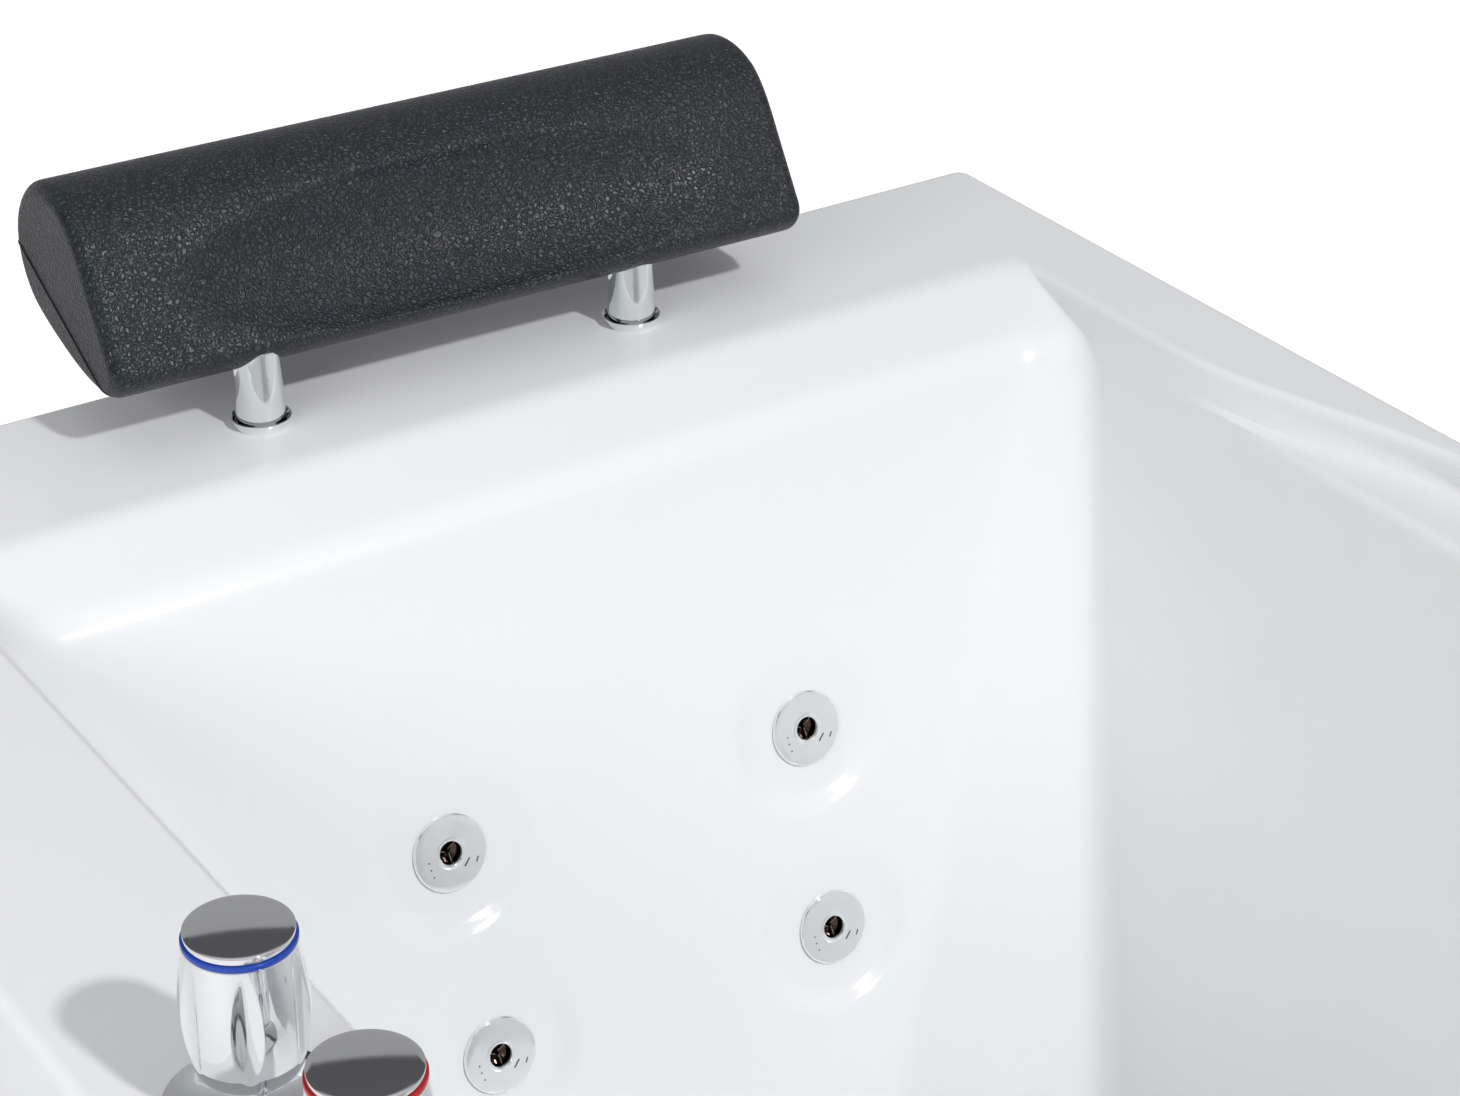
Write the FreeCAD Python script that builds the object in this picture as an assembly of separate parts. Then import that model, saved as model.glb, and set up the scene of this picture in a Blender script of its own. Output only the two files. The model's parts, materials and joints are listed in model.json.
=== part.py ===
"""Jetted bathtub with a cushioned headrest, deck taps, massage jets and pump.

Millimetres, +Z up.  X runs along the tub from the head end (headrest) to the foot end,
the tap side is at -Y and the wall side at +Y.  The origin lies on the floor under the
middle of the outline, headrest overhang included.
"""
import FreeCAD
import Part
import math
import os
from FreeCAD import Placement, Rotation, Vector

os.makedirs("parts", exist_ok=True)

# ---------------------------------------------------------------- driving dimensions
LENGTH = 1800.0              # rim, head edge to foot edge
WIDTH = 900.0                # rim, tap side to wall side
RIM_HEIGHT = 580.0           # floor to top of rim
BASIN_DEPTH = 470.0          # rim top to basin floor
SHELL = 6.0                  # acrylic with its glass-fibre backing
RIM_CORNER_R = 20.0          # outer corner of the rim, seen from above
RIM_EDGE_R = 8.0             # rolled outer edge
LIP_DEPTH = 45.0             # turned-down skirt of the rim

HEAD_RIM = 138.0             # flat rim at the head end
FOOT_RIM = 100.0
TAP_RIM = 122.0              # flat rim that carries the taps
WALL_RIM = 62.0
BAND_RUN = 63.0              # gently sloping band between head rim and backrest
BAND_DROP = 24.0
BACKREST_LEAN = 18.3         # degrees from upright
SIDE_LEAN = 14.0
FOOT_LEAN = 12.0
BASIN_CORNER_R = 28.0        # upright corners between the side walls and the corner facets
BASIN_FLOOR_R = 45.0         # between walls and floor
FACET_TOP_Y, FACET_TOP_X = 29.0, 18.0      # corner facet, reach along each wall at the band
FACET_LOW_Y = 115.0                        # and along the head wall at the floor
ARMREST_DROP = 20.0          # recess in the wall-side rim
ARMREST_LIP = 18.0           # rim left outside the recess
ARMREST_START = 290.0        # from either end of the rim
ARMREST_SWEEP = 230.0        # length over which the recess widens

# headrest
POST_FROM_HEAD = 84.0
POST_SPACING = 247.0
POST_OFF_CENTRE = -14.0      # posts sit a little to the tap side of the cushion's middle
SLEEVE_TOP_R, SLEEVE_BASE_R = 13.0, 14.7
SLEEVE_HEIGHT = 48.5
SLEEVE_RING_R = 17.6
SLEEVE_RING_H = 5.5
ROD_R = 6.0
ROD_IN_CUSHION = 9.0         # above the sleeve at rest
CARRIER = (30.0, 280.0, 3.0)  # plate foamed into the cushion, welded on the rods' tops
CARRIER_BACK = 10.0          # from the rods' axis to its middle
HEADREST_TRAVEL = 50.0
CUSHION_LENGTH = 438.0
CUSHION_SCOOP = 7.0          # depth of the hollow for the neck
CUSHION_SCOOP_HALF = 185.0   # half its length
CUSHION_CROWN = 1.0          # bulge of the front face beside the hollow
CUSHION_END_R = 9.0
CUSHION_OVERHANG = 38.0      # behind the head edge of the rim
CUSHION_MIDDLE = (28.0, 0.0, 86.0)  # from the head edge, and above the rim
CUSHION_GIRTH_R = 50.0       # mean radius of the outline, which draws it in at the ends
CUSHION_OUTLINE = (          # corner points, and how far the arc up to each one bulges
    (88.0, 37.5, 1.7),       # toe, under the front edge
    (100.5, 52.5, 2.6),      # foot of the front face
    (61.0, 112.0, None),     # top of the front face: the scoop lies between these two
    (14.0, 138.5, 7.5),      # crest
    (-CUSHION_OVERHANG, 88.0, 15.0),   # back
    (-14.0, 53.5, 7.8),      # heel
    (58.0, 36.0, 2.9))       # underside

# deck fittings: every one has the same threaded tail, hole and backnut
TAIL_R = 13.2
DECK_HOLE_R = 13.8
TAIL_LENGTH = 34.0
BACKNUT_R = 21.0
BACKNUT_H = 8.0

# taps
TAP_INSET = 61.0             # from the tap-side edge of the rim
COLD_FROM_HEAD = 642.0
TAP_SPACING = 107.5
KNOB_TOP = 90.0              # above the rim
KNOB_FOOT = 21.0
KNOB_FOOT_R = 21.5
KNOB_WAIST_R = 27.0          # widest, at KNOB_WAIST_Z
KNOB_WAIST_Z = 50.0
KNOB_SHOULDER_R = 23.6
KNOB_SHOULDER_Z = 83.6
KNOB_FLUTES = 6
KNOB_FLUTE_R = 11.0
KNOB_FLUTE_FLOOR = 24.1      # from the knob's axis
KNOB_FLUTE_TURN = -23.5      # one flute looks this way, degrees from +X
KNOB_CAVITY_R = 18.0
KNOB_WALL_TOP = 20.0         # solid metal at the top of the knob
INDEX_RING_R = 23.9
INDEX_RING_H = 2.4
CAP_R = 22.9
CAP_SPIGOT_R = 18.0
FLANGE_R = 38.0
FLANGE_EDGE = 2.5
FLANGE_WAIST = (23.5, 10.0)  # radius and height of the middle of the flange's sweep
FLANGE_H = 18.0
NECK_R, NECK_TOP = 16.5, 29.0
SPINDLE_R = 4.0
SPINDLE_LOW = 28.0           # reach below the rim top
SPINDLE_GRIP = 12.0          # length held in the knob
INLET_R = 10.48              # G1/2 male thread, major radius
INLET_LENGTH = 18.0
NUT_GAP = 1.0                # between a backnut and the valve's shoulder
VALVE_R = 17.0
VALVE_DROP = 78.0            # below the rim top
VALVE_OUTLET = 52.0          # below the rim top
BONNET_R = 11.5
MIX_PIPE_R, MIX_BRANCH_R = 9.0, 8.0
MIX_END = 12.0               # closed end of the pipe, past the outer branches
MIX_PIPE_OFFSET = 34.0       # behind the taps' axes

# spout
SPOUT_FROM_HEAD = 925.0
SPOUT_WIDTH = 48.0
SPOUT_DEPTH = 38.0           # of its upright part
SPOUT_REACH = 128.0
SPOUT_HEIGHT = 72.0
SPOUT_THICK = 15.0
SPOUT_BEND = 12.0            # inner bend; the outer one is twice this
SPOUT_FALL = 14.0            # the lip lies this much lower than the crown
SPOUT_WALL, SPOUT_MOUTH = 3.0, 6.0
SPOUT_FOOT_R, SPOUT_FOOT_H = 30.0, 5.0

# air control and pump button
AIR_FROM_HEAD = 1110.0
BUTTON_FROM_HEAD = 1200.0
AIR_KNOB_R, AIR_KNOB_H, AIR_KNOB_BEVEL = 21.0, 14.0, 3.0
AIR_STEM_R = 4.0
BUTTON_R = 10.0
BUTTON_PROUD = 6.5
BUTTON_LENGTH = 15.0
BUTTON_TRAVEL = 4.0
BEZEL_R = 22.0
BEZEL_H = 3.0

# jets
JET_R = 23.0
JET_PLATE = 1.2              # thickness of the face
JET_BEVEL = 0.8
JET_HOLE_R = 17.0            # through the shell
JET_BORE_R = 7.0
JET_STEM_R = 11.0
JET_BARREL_R = 16.6
JET_BARREL_L = 66.0
JET_FLANGE_R, JET_FLANGE_H = 20.0, 1.2
JET_STEM_L = 20.0
JET_NOZZLE_R, JET_NOZZLE_L = 3.5, 3.0
JET_NOZZLE_DEPTH = 6.0       # behind the wall
JET_SKIRT = 1.6              # thickness of the face's turned-back edge
JET_NUT_R = 23.0
JET_NUT_H = 10.0
JET_PORT_WATER = 27.0        # behind the face of the wall
JET_PORT_AIR = 54.0
JET_STUB = 26.0              # from the jet's axis to the end of its hose stub
DIMPLE_R = 48.0
DIMPLE_TILT = 4.0            # degrees, the dimple's floor stands more upright than the wall
BACK_JET_ROWS = ((201.0, 121.0), (319.5, 115.5))   # below the rim, half spacing
SIDE_JET_STATIONS = (700.0, 1150.0)                # from the head edge
SIDE_JET_DROP = 300.0

# pipework
WATER_R, WATER_BRANCH_R = 12.5, 8.0
AIR_R, AIR_BRANCH_R, AIR_FEED_R = 7.0, 5.0, 4.5
PIPE_WALL = 2.0
ELBOW_COLLAR = 3.0           # elbows stand this far outside their pipe
ELBOW_EASE = 0.8             # and are this much wider inside
AIR_HEADER_DROP = 264.0      # below the rim, between the two rows of back jets

# pump
PUMP_FROM_HEAD = 150.0
PUMP_FOOT_H = 6.0
PUMP_FOOT_LENGTH = 200.0
PUMP_FOOT_WIDTH = 120.0
MOTOR_R = 62.0
MOTOR_LENGTH = 225.0
MOTOR_WALL = 4.0
MOTOR_FRONT_Y = -60.0
VOLUTE_R = 68.0
VOLUTE_W = 50.0
VOLUTE_WALL = 6.0
PUMP_OUTLET_R = 22.0
PUMP_OUTLET_L = 88.0
PUMP_INLET_L = 30.0
SHAFT_R = 8.0
ROTOR_R = 30.0
ROTOR_LENGTH = 110.0
ROTOR_GAP = 1.5              # air gap to the stator
BEARING_R, BEARING_W = 15.0, 10.0
IMPELLER_R = 46.0
IMPELLER_HUB_R = 14.0
IMPELLER_VANES = 6
IMPELLER_DISC, VANE_H, VANE_T, VANE_GAP = 4.0, 16.0, 3.0, 1.5
SUCTION_R = 25.0
SUCTION_FROM_HEAD = 520.0
SUCTION_DROP = 362.0
SUCTION_BARREL_L = 45.0
SUCTION_TURN = 82.0          # behind the wall, where the pipe turns
SUCTION_BEND = 32.0          # radius of its bends, along the axis
GRILLE_R = 42.0
GRILLE_SKIRT = 3.0
GRILLE_RISE = 5.0            # of its domed face
GRILLE_RINGS = ((12.0, 6), (22.0, 12), (32.0, 16))   # radius and number of holes
GRILLE_HOLE_R = 3.0

# waste and overflow
DRAIN_FROM_FOOT = 320.0
DRAIN_R = 35.0
DRAIN_RIM_H = 2.5
DRAIN_BORE_R = 26.0
DRAIN_TAIL_R = 29.0
DRAIN_TAIL_L = 26.0
PLUG_R = 31.0
PLUG_RISE = 3.5              # of its domed top
PLUG_LIFT = 10.0
PLUG_STEM_R = 6.0
PLUG_STEM_L = 50.0
WASTE_R = 36.0
WASTE_FLANGE_R = 44.0
WASTE_FLANGE_H = 8.0
WASTE_DEPTH = 52.0           # below the shell
WASTE_WALL = 3.0
OUTLET_R = 20.0
OUTLET_LENGTH = 30.0
OVERFLOW_DROP = 95.0
OVERFLOW_PIPE_R = 16.0
OVERFLOW_BARREL_R = 21.5
OVERFLOW_BARREL_L = 52.0
OVERFLOW_KNOB_R, OVERFLOW_KNOB_H = 35.0, 12.0
OVERFLOW_STAND = 5.0         # knob's stand-off, where the water runs in
OVERFLOW_STEM_R, OVERFLOW_STEM_L = 5.0, 16.0
OVERFLOW_GRIPS = 4           # hollows round the knob for the fingers
OVERFLOW_GRIP_R, OVERFLOW_GRIP_REACH = 18.0, 49.0
OVERFLOW_DROP_LEG = 51.6     # from the knob's axis down to the elbow
SPIDER_WALL, SPIDER_L = 3.0, 8.0

# frame, feet and panels
RAIL = 30.0                  # square tube
RAIL_SPREAD = 200.0          # rails either side of the basin's middle
CROSS_W, CROSS_H = 20.0, 20.0
UPRIGHT = 20.0
TUBE_WALL = 2.0
BOARD = 16.0
FOOT_PAD_R, FOOT_PAD_H = 25.0, 8.0
STUD_R = 6.0
LOCKNUT_R, LOCKNUT_H = 11.0, 8.0
FOOT_INSET = 110.0            # end feet, from the rim's ends; two more stand midway
END_STATION = 32.0           # end cross members and uprights, from the rim's ends
PUMP_STATION = 225.0
PANEL = 5.0
PANEL_GAP = 0.5              # between the rim's skirt and a panel
PANEL_FLOOR_GAP = 12.0
PANEL_TOP_GAP = 10.0         # below the rim's underside
PANEL_RETURN = 18.0          # folded bottom edge behind a panel
UPRIGHT_SETBACK = 13.0       # from the rim's edge
SCREW_R, SCREW_HEAD_R, SCREW_HEAD_H = 2.0, 5.0, 2.6
SCREW_LENGTH = 22.0
SCREW_RISE = 32.0            # front panel screws, above the cross members

CHAMFER = 1.0                # broken edges of turned pieces
SEAT = 0.3                   # clearance where pieces lie on one another and one of them moves
CLEAR = 0.05                 # radial clearance of a running, screwed or pushed fit

# ---------------------------------------------------------------- derived places
X_HEAD = -(LENGTH + CUSHION_OVERHANG) / 2.0 + CUSHION_OVERHANG
X_FOOT = X_HEAD + LENGTH
X_MID = (X_HEAD + X_FOOT) / 2.0
Y_TAP = -WIDTH / 2.0
Y_WALL = WIDTH / 2.0
Y_BASIN = (TAP_RIM - WALL_RIM) / 2.0                 # middle of the basin
BASIN_HALF = (WIDTH - TAP_RIM - WALL_RIM) / 2.0
FLOOR_Z = RIM_HEIGHT - BASIN_DEPTH
UNDER_RIM = RIM_HEIGHT - SHELL
BOARD_TOP = FLOOR_Z - SHELL
CROSS_TOP = BOARD_TOP - BOARD
RAIL_TOP = CROSS_TOP - CROSS_H
TAP_Y = Y_TAP + TAP_INSET
COLD_X = X_HEAD + COLD_FROM_HEAD
HOT_X = COLD_X + TAP_SPACING
SPOUT_X = X_HEAD + SPOUT_FROM_HEAD
POST_X = X_HEAD + POST_FROM_HEAD
POST_YS = tuple(Y_BASIN + POST_OFF_CENTRE + s * POST_SPACING / 2.0 for s in (-1, 1))
DRAIN_X = X_FOOT - DRAIN_FROM_FOOT
BIG = 5000.0

UP = Vector(0, 0, 1)
TO_HEAD = Vector(-1, 0, 0)
TO_WALL = Vector(0, 1, 0)
VIA = "via"                    # marks the middle point of an arc in a turned profile
NODES = {}


def keep(name, *solids):
    """Files one piece, or one group of like pieces, under its name."""
    NODES[name] = solids[0] if len(solids) == 1 else Part.makeCompound(list(solids))


def cylinder(radius, height, base, axis=UP):
    return Part.makeCylinder(radius, height, base, axis)


def ring(outer, inner, height, base, axis=UP):
    return cylinder(outer, height, base, axis).cut(cylinder(inner, height, base, axis))


def box(low, high):
    size = [h - l for l, h in zip(low, high)]
    return Part.makeBox(size[0], size[1], size[2], Vector(*low))


def square_tube(low, high, axis):
    """Box-section tube between two corners, open at both ends of the named axis."""
    inner_low = [v if i == axis else v + TUBE_WALL for i, v in enumerate(low)]
    inner_high = [v if i == axis else v - TUBE_WALL for i, v in enumerate(high)]
    return box(low, high).cut(box(inner_low, inner_high))


def turned(profile, base, axis=UP):
    """Solid of revolution from (radius, height) points; a triple (r, h, VIA) is on an arc."""
    points = [(Vector(p[0], 0, p[1]), len(p) == 3) for p in profile]
    edges, i = [], 0
    while i < len(points) - 1:
        if points[i + 1][1]:
            edges.append(Part.Arc(points[i][0], points[i + 1][0], points[i + 2][0]).toShape())
            i += 2
        else:
            edges.append(Part.LineSegment(points[i][0], points[i + 1][0]).toShape())
            i += 1
    edges.append(Part.LineSegment(points[-1][0], points[0][0]).toShape())
    solid = Part.Face(Part.Wire(edges)).revolve(Vector(0, 0, 0), UP, 360)
    solid.Placement = Placement(base, Rotation(UP, axis))
    return solid


def dome(radius, low, rise):
    """Profile points of a shallow dome, from its edge to the axis."""
    ball = (radius * radius + rise * rise) / (2 * rise)
    half = radius / 2
    return [(radius, low), (half, low + rise - ball + math.sqrt(ball * ball - half * half), VIA),
            (0, low + rise)]


def prism(points, height, direction):
    """Closed outline of corner points, extruded along a direction."""
    wire = Part.makePolygon(points + [points[0]])
    return Part.Face(wire).extrude(direction * height)


def pipe(points, radius):
    """Straight runs with a round elbow collar at each bend: the outside, and its bore."""
    outer = inner = None
    for start, end in zip(points, points[1:]):
        run = end - start
        tube = cylinder(radius, run.Length, start, run)
        core = cylinder(radius - PIPE_WALL, run.Length, start, run)
        outer = tube if outer is None else outer.fuse(tube)
        inner = core if inner is None else inner.fuse(core)
    for bend in points[1:-1]:
        outer = outer.fuse(Part.makeSphere(radius + ELBOW_COLLAR, bend))
        inner = inner.fuse(Part.makeSphere(radius - PIPE_WALL + ELBOW_EASE, bend))
    return outer, inner


def bent_pipe(points, radius, bend):
    """Pipe with swept bends, between the first and the last point."""
    edges, here = [], points[0]
    for before, corner, after in zip(points, points[1:], points[2:]):
        back, ahead = (before - corner).normalize(), (after - corner).normalize()
        half = back.getAngle(ahead) / 2
        reach = bend / math.tan(half)
        centre = corner + (back + ahead).normalize() * (bend / math.sin(half))
        start, end = corner + back * reach, corner + ahead * reach
        edges.append(Part.LineSegment(here, start).toShape())
        edges.append(Part.Arc(start, centre + (corner - centre).normalize() * bend, end).toShape())
        here = end
    edges.append(Part.LineSegment(here, points[-1]).toShape())
    way = points[1] - points[0]
    shapes = []
    for size in (radius, radius - PIPE_WALL):
        disc = Part.Face(Part.Wire(Part.makeCircle(size, points[0], way)))
        shapes.append(Part.Wire(edges).makePipe(disc))
    return shapes[0].cut(shapes[1])


# ---------------------------------------------------------------- basin planes
def half_space(point, outward):
    """Everything on the inner side of a plane."""
    block = Part.makeBox(BIG, BIG, BIG, Vector(-BIG / 2, -BIG / 2, -BIG))
    block.Placement = Placement(point, Rotation(UP, outward))
    return block


class Plane:
    """A basin wall: a point on its inner face and the normal that points out of the basin."""

    def __init__(self, point, outward):
        self.point = point
        self.outward = Vector(outward).normalize()

    def space(self, grow):
        return half_space(self.point + self.outward * grow, self.outward)

    def x_at(self, z):
        return self.point.x - (z - self.point.z) * self.outward.z / self.outward.x

    def y_at(self, z):
        return self.point.y - (z - self.point.z) * self.outward.z / self.outward.y


def plane_through(a, b, c):
    normal = (b - a).cross(c - a)
    middle = Vector(X_MID, Y_BASIN, RIM_HEIGHT)
    if normal.dot(middle - a) > 0:
        normal = -normal
    return Plane(a, normal)


def leaning(point, direction, degrees):
    """Wall that leans outward from its foot; direction is the horizontal way out."""
    lean = math.radians(degrees)
    return Plane(point, direction * math.cos(lean) - UP * math.sin(lean))


BAND_Z = RIM_HEIGHT - BAND_DROP
BAND_X = X_HEAD + HEAD_RIM + BAND_RUN
BACKREST = leaning(Vector(BAND_X, Y_BASIN, BAND_Z), Vector(-1, 0, 0), BACKREST_LEAN)
FOOT_WALL = leaning(Vector(X_FOOT - FOOT_RIM, Y_BASIN, RIM_HEIGHT), Vector(1, 0, 0), FOOT_LEAN)
TAP_WALL = leaning(Vector(X_MID, Y_BASIN - BASIN_HALF, RIM_HEIGHT), Vector(0, -1, 0), SIDE_LEAN)
BACK_WALL = leaning(Vector(X_MID, Y_BASIN + BASIN_HALF, RIM_HEIGHT), Vector(0, 1, 0), SIDE_LEAN)
FLOOR = Plane(Vector(X_MID, Y_BASIN, FLOOR_Z), -UP)


def corner_facets():
    """The four planes that cut the basin's upright corners, wider towards the floor."""
    planes, ramps = [], []
    for side, wall in ((-1, TAP_WALL), (1, BACK_WALL)):
        for end, across in ((1, BACKREST), (-1, FOOT_WALL)):
            top = Vector(across.x_at(BAND_Z), wall.y_at(BAND_Z), BAND_Z)
            low = Vector(across.x_at(FLOOR_Z), wall.y_at(FLOOR_Z), FLOOR_Z)
            along_end = top - Vector(0, side * FACET_TOP_Y, 0)
            along_side = top + Vector(end * FACET_TOP_X, 0, 0)
            foot = low - Vector(0, side * FACET_LOW_Y, 0)
            planes.append(plane_through(along_end, along_side, foot))
            if end == 1:
                rim_corner = Vector(X_HEAD + HEAD_RIM, wall.y_at(RIM_HEIGHT), RIM_HEIGHT)
                ramps.append(plane_through(rim_corner, along_end, along_side))
    return planes, ramps


FACETS, RAMPS = corner_facets()
BAND = plane_through(Vector(X_HEAD + HEAD_RIM, 0, RIM_HEIGHT), Vector(BAND_X, 0, BAND_Z),
                     Vector(BAND_X, 1, BAND_Z))


def common_of(planes, grow, top):
    solid = box((X_HEAD, Y_TAP, 0), (X_FOOT, Y_WALL, top))
    for plane in planes:
        solid = solid.common(plane.space(grow))
    return solid


def basin_body(grow, top):
    """The basin as a solid block: grow 0 is its inside, grow SHELL its outside."""
    block = common_of([BACKREST, FOOT_WALL, TAP_WALL, BACK_WALL, FLOOR] + FACETS, grow, top)
    floor_z = FLOOR_Z - grow
    low_loop = [e for e in block.Edges if all(abs(v.Z - floor_z) < 0.01 for v in e.Vertexes)]
    block = block.makeFillet(BASIN_FLOOR_R + grow, low_loop)
    uprights = [e for e in block.Edges
                if min(v.Z for v in e.Vertexes) < BAND_Z < max(v.Z for v in e.Vertexes)]
    block = block.makeFillet(BASIN_CORNER_R + grow, uprights)
    wedge = common_of([BAND, TAP_WALL, BACK_WALL] + RAMPS, grow, top)
    limits = box((X_HEAD, Y_TAP, BAND_Z - grow), (BAND_X + 3 * BAND_RUN, Y_WALL, top))
    return block.fuse(wedge.common(limits))


def s_curve(start, end):
    """Two tangent arcs that leave and arrive along X."""
    dx, dy = end.x - start.x, end.y - start.y
    radius = (dx * dx + dy * dy) / (4.0 * abs(dy))
    half = math.asin(abs(dx) / (2 * radius)) / 2.0
    sx, sy = math.copysign(1, dx), math.copysign(1, dy)
    reach = radius * math.sin(half) * sx
    rise = radius * (1 - math.cos(half)) * sy
    middle = (start + end) * 0.5
    first = Part.Arc(start, start + Vector(reach, rise, 0), middle).toShape()
    second = Part.Arc(middle, end - Vector(reach, rise, 0), end).toShape()
    return [first, second]


def armrest_block(grow):
    """Recess in the wall-side rim, swept in gently from both ends."""
    z = RIM_HEIGHT - ARMREST_DROP - grow
    y_in = Y_BASIN + BASIN_HALF + grow
    y_out = Y_WALL - ARMREST_LIP + grow
    y_open = Y_BASIN + BASIN_HALF / 2.0
    a = Vector(X_HEAD + ARMREST_START - grow, y_in, z)
    b = Vector(X_HEAD + ARMREST_START + ARMREST_SWEEP - grow, y_out, z)
    c = Vector(X_FOOT - ARMREST_START - ARMREST_SWEEP + grow, y_out, z)
    d = Vector(X_FOOT - ARMREST_START + grow, y_in, z)
    e, f = Vector(d.x, y_open, z), Vector(a.x, y_open, z)
    straight = [Part.LineSegment(*pair).toShape() for pair in ((b, c), (d, e), (e, f), (f, a))]
    edges = s_curve(a, b) + [straight[0]] + s_curve(c, d) + straight[1:]
    return Part.Face(Part.Wire(edges)).extrude(UP * (RIM_HEIGHT - z))


def rim_outline(inset, low, high):
    block = box((X_HEAD + inset, Y_TAP + inset, low), (X_FOOT - inset, Y_WALL - inset, high))
    corners = [e for e in block.Edges if abs(e.Vertexes[0].Z - e.Vertexes[1].Z) > 1]
    return block.makeFillet(RIM_CORNER_R - inset, corners)


# ---------------------------------------------------------------- jet seats
class Seat:
    """Where a fitting sits on a wall; local Z looks into the basin, local Y up the wall."""

    def __init__(self, place, ways=()):
        self.place = place
        self.ways = ways              # the world directions in which its pipe stubs point

    def at(self, x, y, z):
        return self.place.multVec(Vector(x, y, z))

    def way(self, x, y, z):
        return self.place.Rotation.multVec(Vector(x, y, z))


def wall_place(plane, point, tilt=0.0, sink=0.0):
    inward = -plane.outward
    across = UP.cross(inward).normalize()
    upward = inward.cross(across)
    frame = Placement(point, Rotation(across, upward, inward, "ZXY"))
    return frame.multiply(Placement(Vector(0, 0, -sink), Rotation(Vector(1, 0, 0), tilt)))


def jet_seats():
    sink = DIMPLE_R * math.sin(math.radians(DIMPLE_TILT))
    seats = {}
    for row, (drop, half) in zip(("upper", "lower"), BACK_JET_ROWS):
        z = RIM_HEIGHT - drop
        for hand, side in (("left", -1), ("right", 1)):
            point = Vector(BACKREST.x_at(z), Y_BASIN + side * half, z)
            place = wall_place(BACKREST, point, DIMPLE_TILT, sink)
            seats["back_jet_%s_%s" % (row, hand)] = Seat(place, (Vector(0, -side, 0),))
    z = RIM_HEIGHT - SIDE_JET_DROP
    for hand, wall in (("tap_side", TAP_WALL), ("wall_side", BACK_WALL)):
        for number, station in enumerate(SIDE_JET_STATIONS, 1):
            point = Vector(X_HEAD + station, wall.y_at(z), z)
            place = wall_place(wall, point, DIMPLE_TILT, sink)
            last = number == len(SIDE_JET_STATIONS)
            ways = (TO_HEAD,) if last else (TO_HEAD, -TO_HEAD)
            seats["side_jet_%s_%d" % (hand, number)] = Seat(place, ways)
    return seats


JETS = jet_seats()
SUCTION_Z = RIM_HEIGHT - SUCTION_DROP
SUCTION = Seat(wall_place(TAP_WALL, Vector(X_HEAD + SUCTION_FROM_HEAD, TAP_WALL.y_at(SUCTION_Z),
                                           SUCTION_Z)))
OVERFLOW_Z = RIM_HEIGHT - OVERFLOW_DROP
OVERFLOW = Seat(wall_place(FOOT_WALL, Vector(FOOT_WALL.x_at(OVERFLOW_Z), Y_BASIN, OVERFLOW_Z)))
DECK_FITTINGS = ([Vector(x, TAP_Y, RIM_HEIGHT) for x in
                  (COLD_X, HOT_X, SPOUT_X, X_HEAD + AIR_FROM_HEAD, X_HEAD + BUTTON_FROM_HEAD)]
                 + [Vector(POST_X, y, RIM_HEIGHT) for y in POST_YS])
DRAIN_TOP = Vector(DRAIN_X, Y_BASIN, FLOOR_Z)


# ---------------------------------------------------------------- shell
def tub_shell():
    rim = rim_outline(0, RIM_HEIGHT - LIP_DEPTH, RIM_HEIGHT)
    top_loop = [e for e in rim.Edges if all(abs(v.Z - RIM_HEIGHT) < 0.01 for v in e.Vertexes)]
    rim = rim.makeFillet(RIM_EDGE_R, top_loop)
    skirt_hollow = rim_outline(SHELL, RIM_HEIGHT - LIP_DEPTH, UNDER_RIM)
    solid = rim.cut(skirt_hollow).fuse([basin_body(SHELL, RIM_HEIGHT - 1), armrest_block(SHELL)])
    hollow = basin_body(0, RIM_HEIGHT + SHELL).fuse(armrest_block(0))
    bosses, pockets = [], []
    for seat in JETS.values():
        bosses.append(cylinder(DIMPLE_R + SHELL, SHELL * 2, seat.at(0, 0, -SHELL), seat.way(0, 0, 1)))
        pockets.append(cylinder(DIMPLE_R, SHELL * 4, seat.at(0, 0, 0), seat.way(0, 0, 1)))
    solid = solid.fuse(bosses).cut(hollow).cut(pockets)
    holes = [cylinder(DECK_HOLE_R, 3 * SHELL, p - UP * 2 * SHELL) for p in DECK_FITTINGS]
    for seat in JETS.values():
        holes.append(cylinder(JET_HOLE_R, 4 * SHELL, seat.at(0, 0, -3 * SHELL), seat.way(0, 0, 1)))
    holes.append(cylinder(SUCTION_R + SEAT, 4 * SHELL, SUCTION.at(0, 0, -2 * SHELL),
                          SUCTION.way(0, 0, 1)))
    holes.append(cylinder(OVERFLOW_BARREL_R + SEAT, 4 * SHELL, OVERFLOW.at(0, 0, -2 * SHELL),
                          OVERFLOW.way(0, 0, 1)))
    holes.append(cylinder(DRAIN_TAIL_R + SEAT, 4 * SHELL, DRAIN_TOP - UP * 2 * SHELL))
    return solid.cut(holes)


keep("tub_shell", tub_shell())


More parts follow.
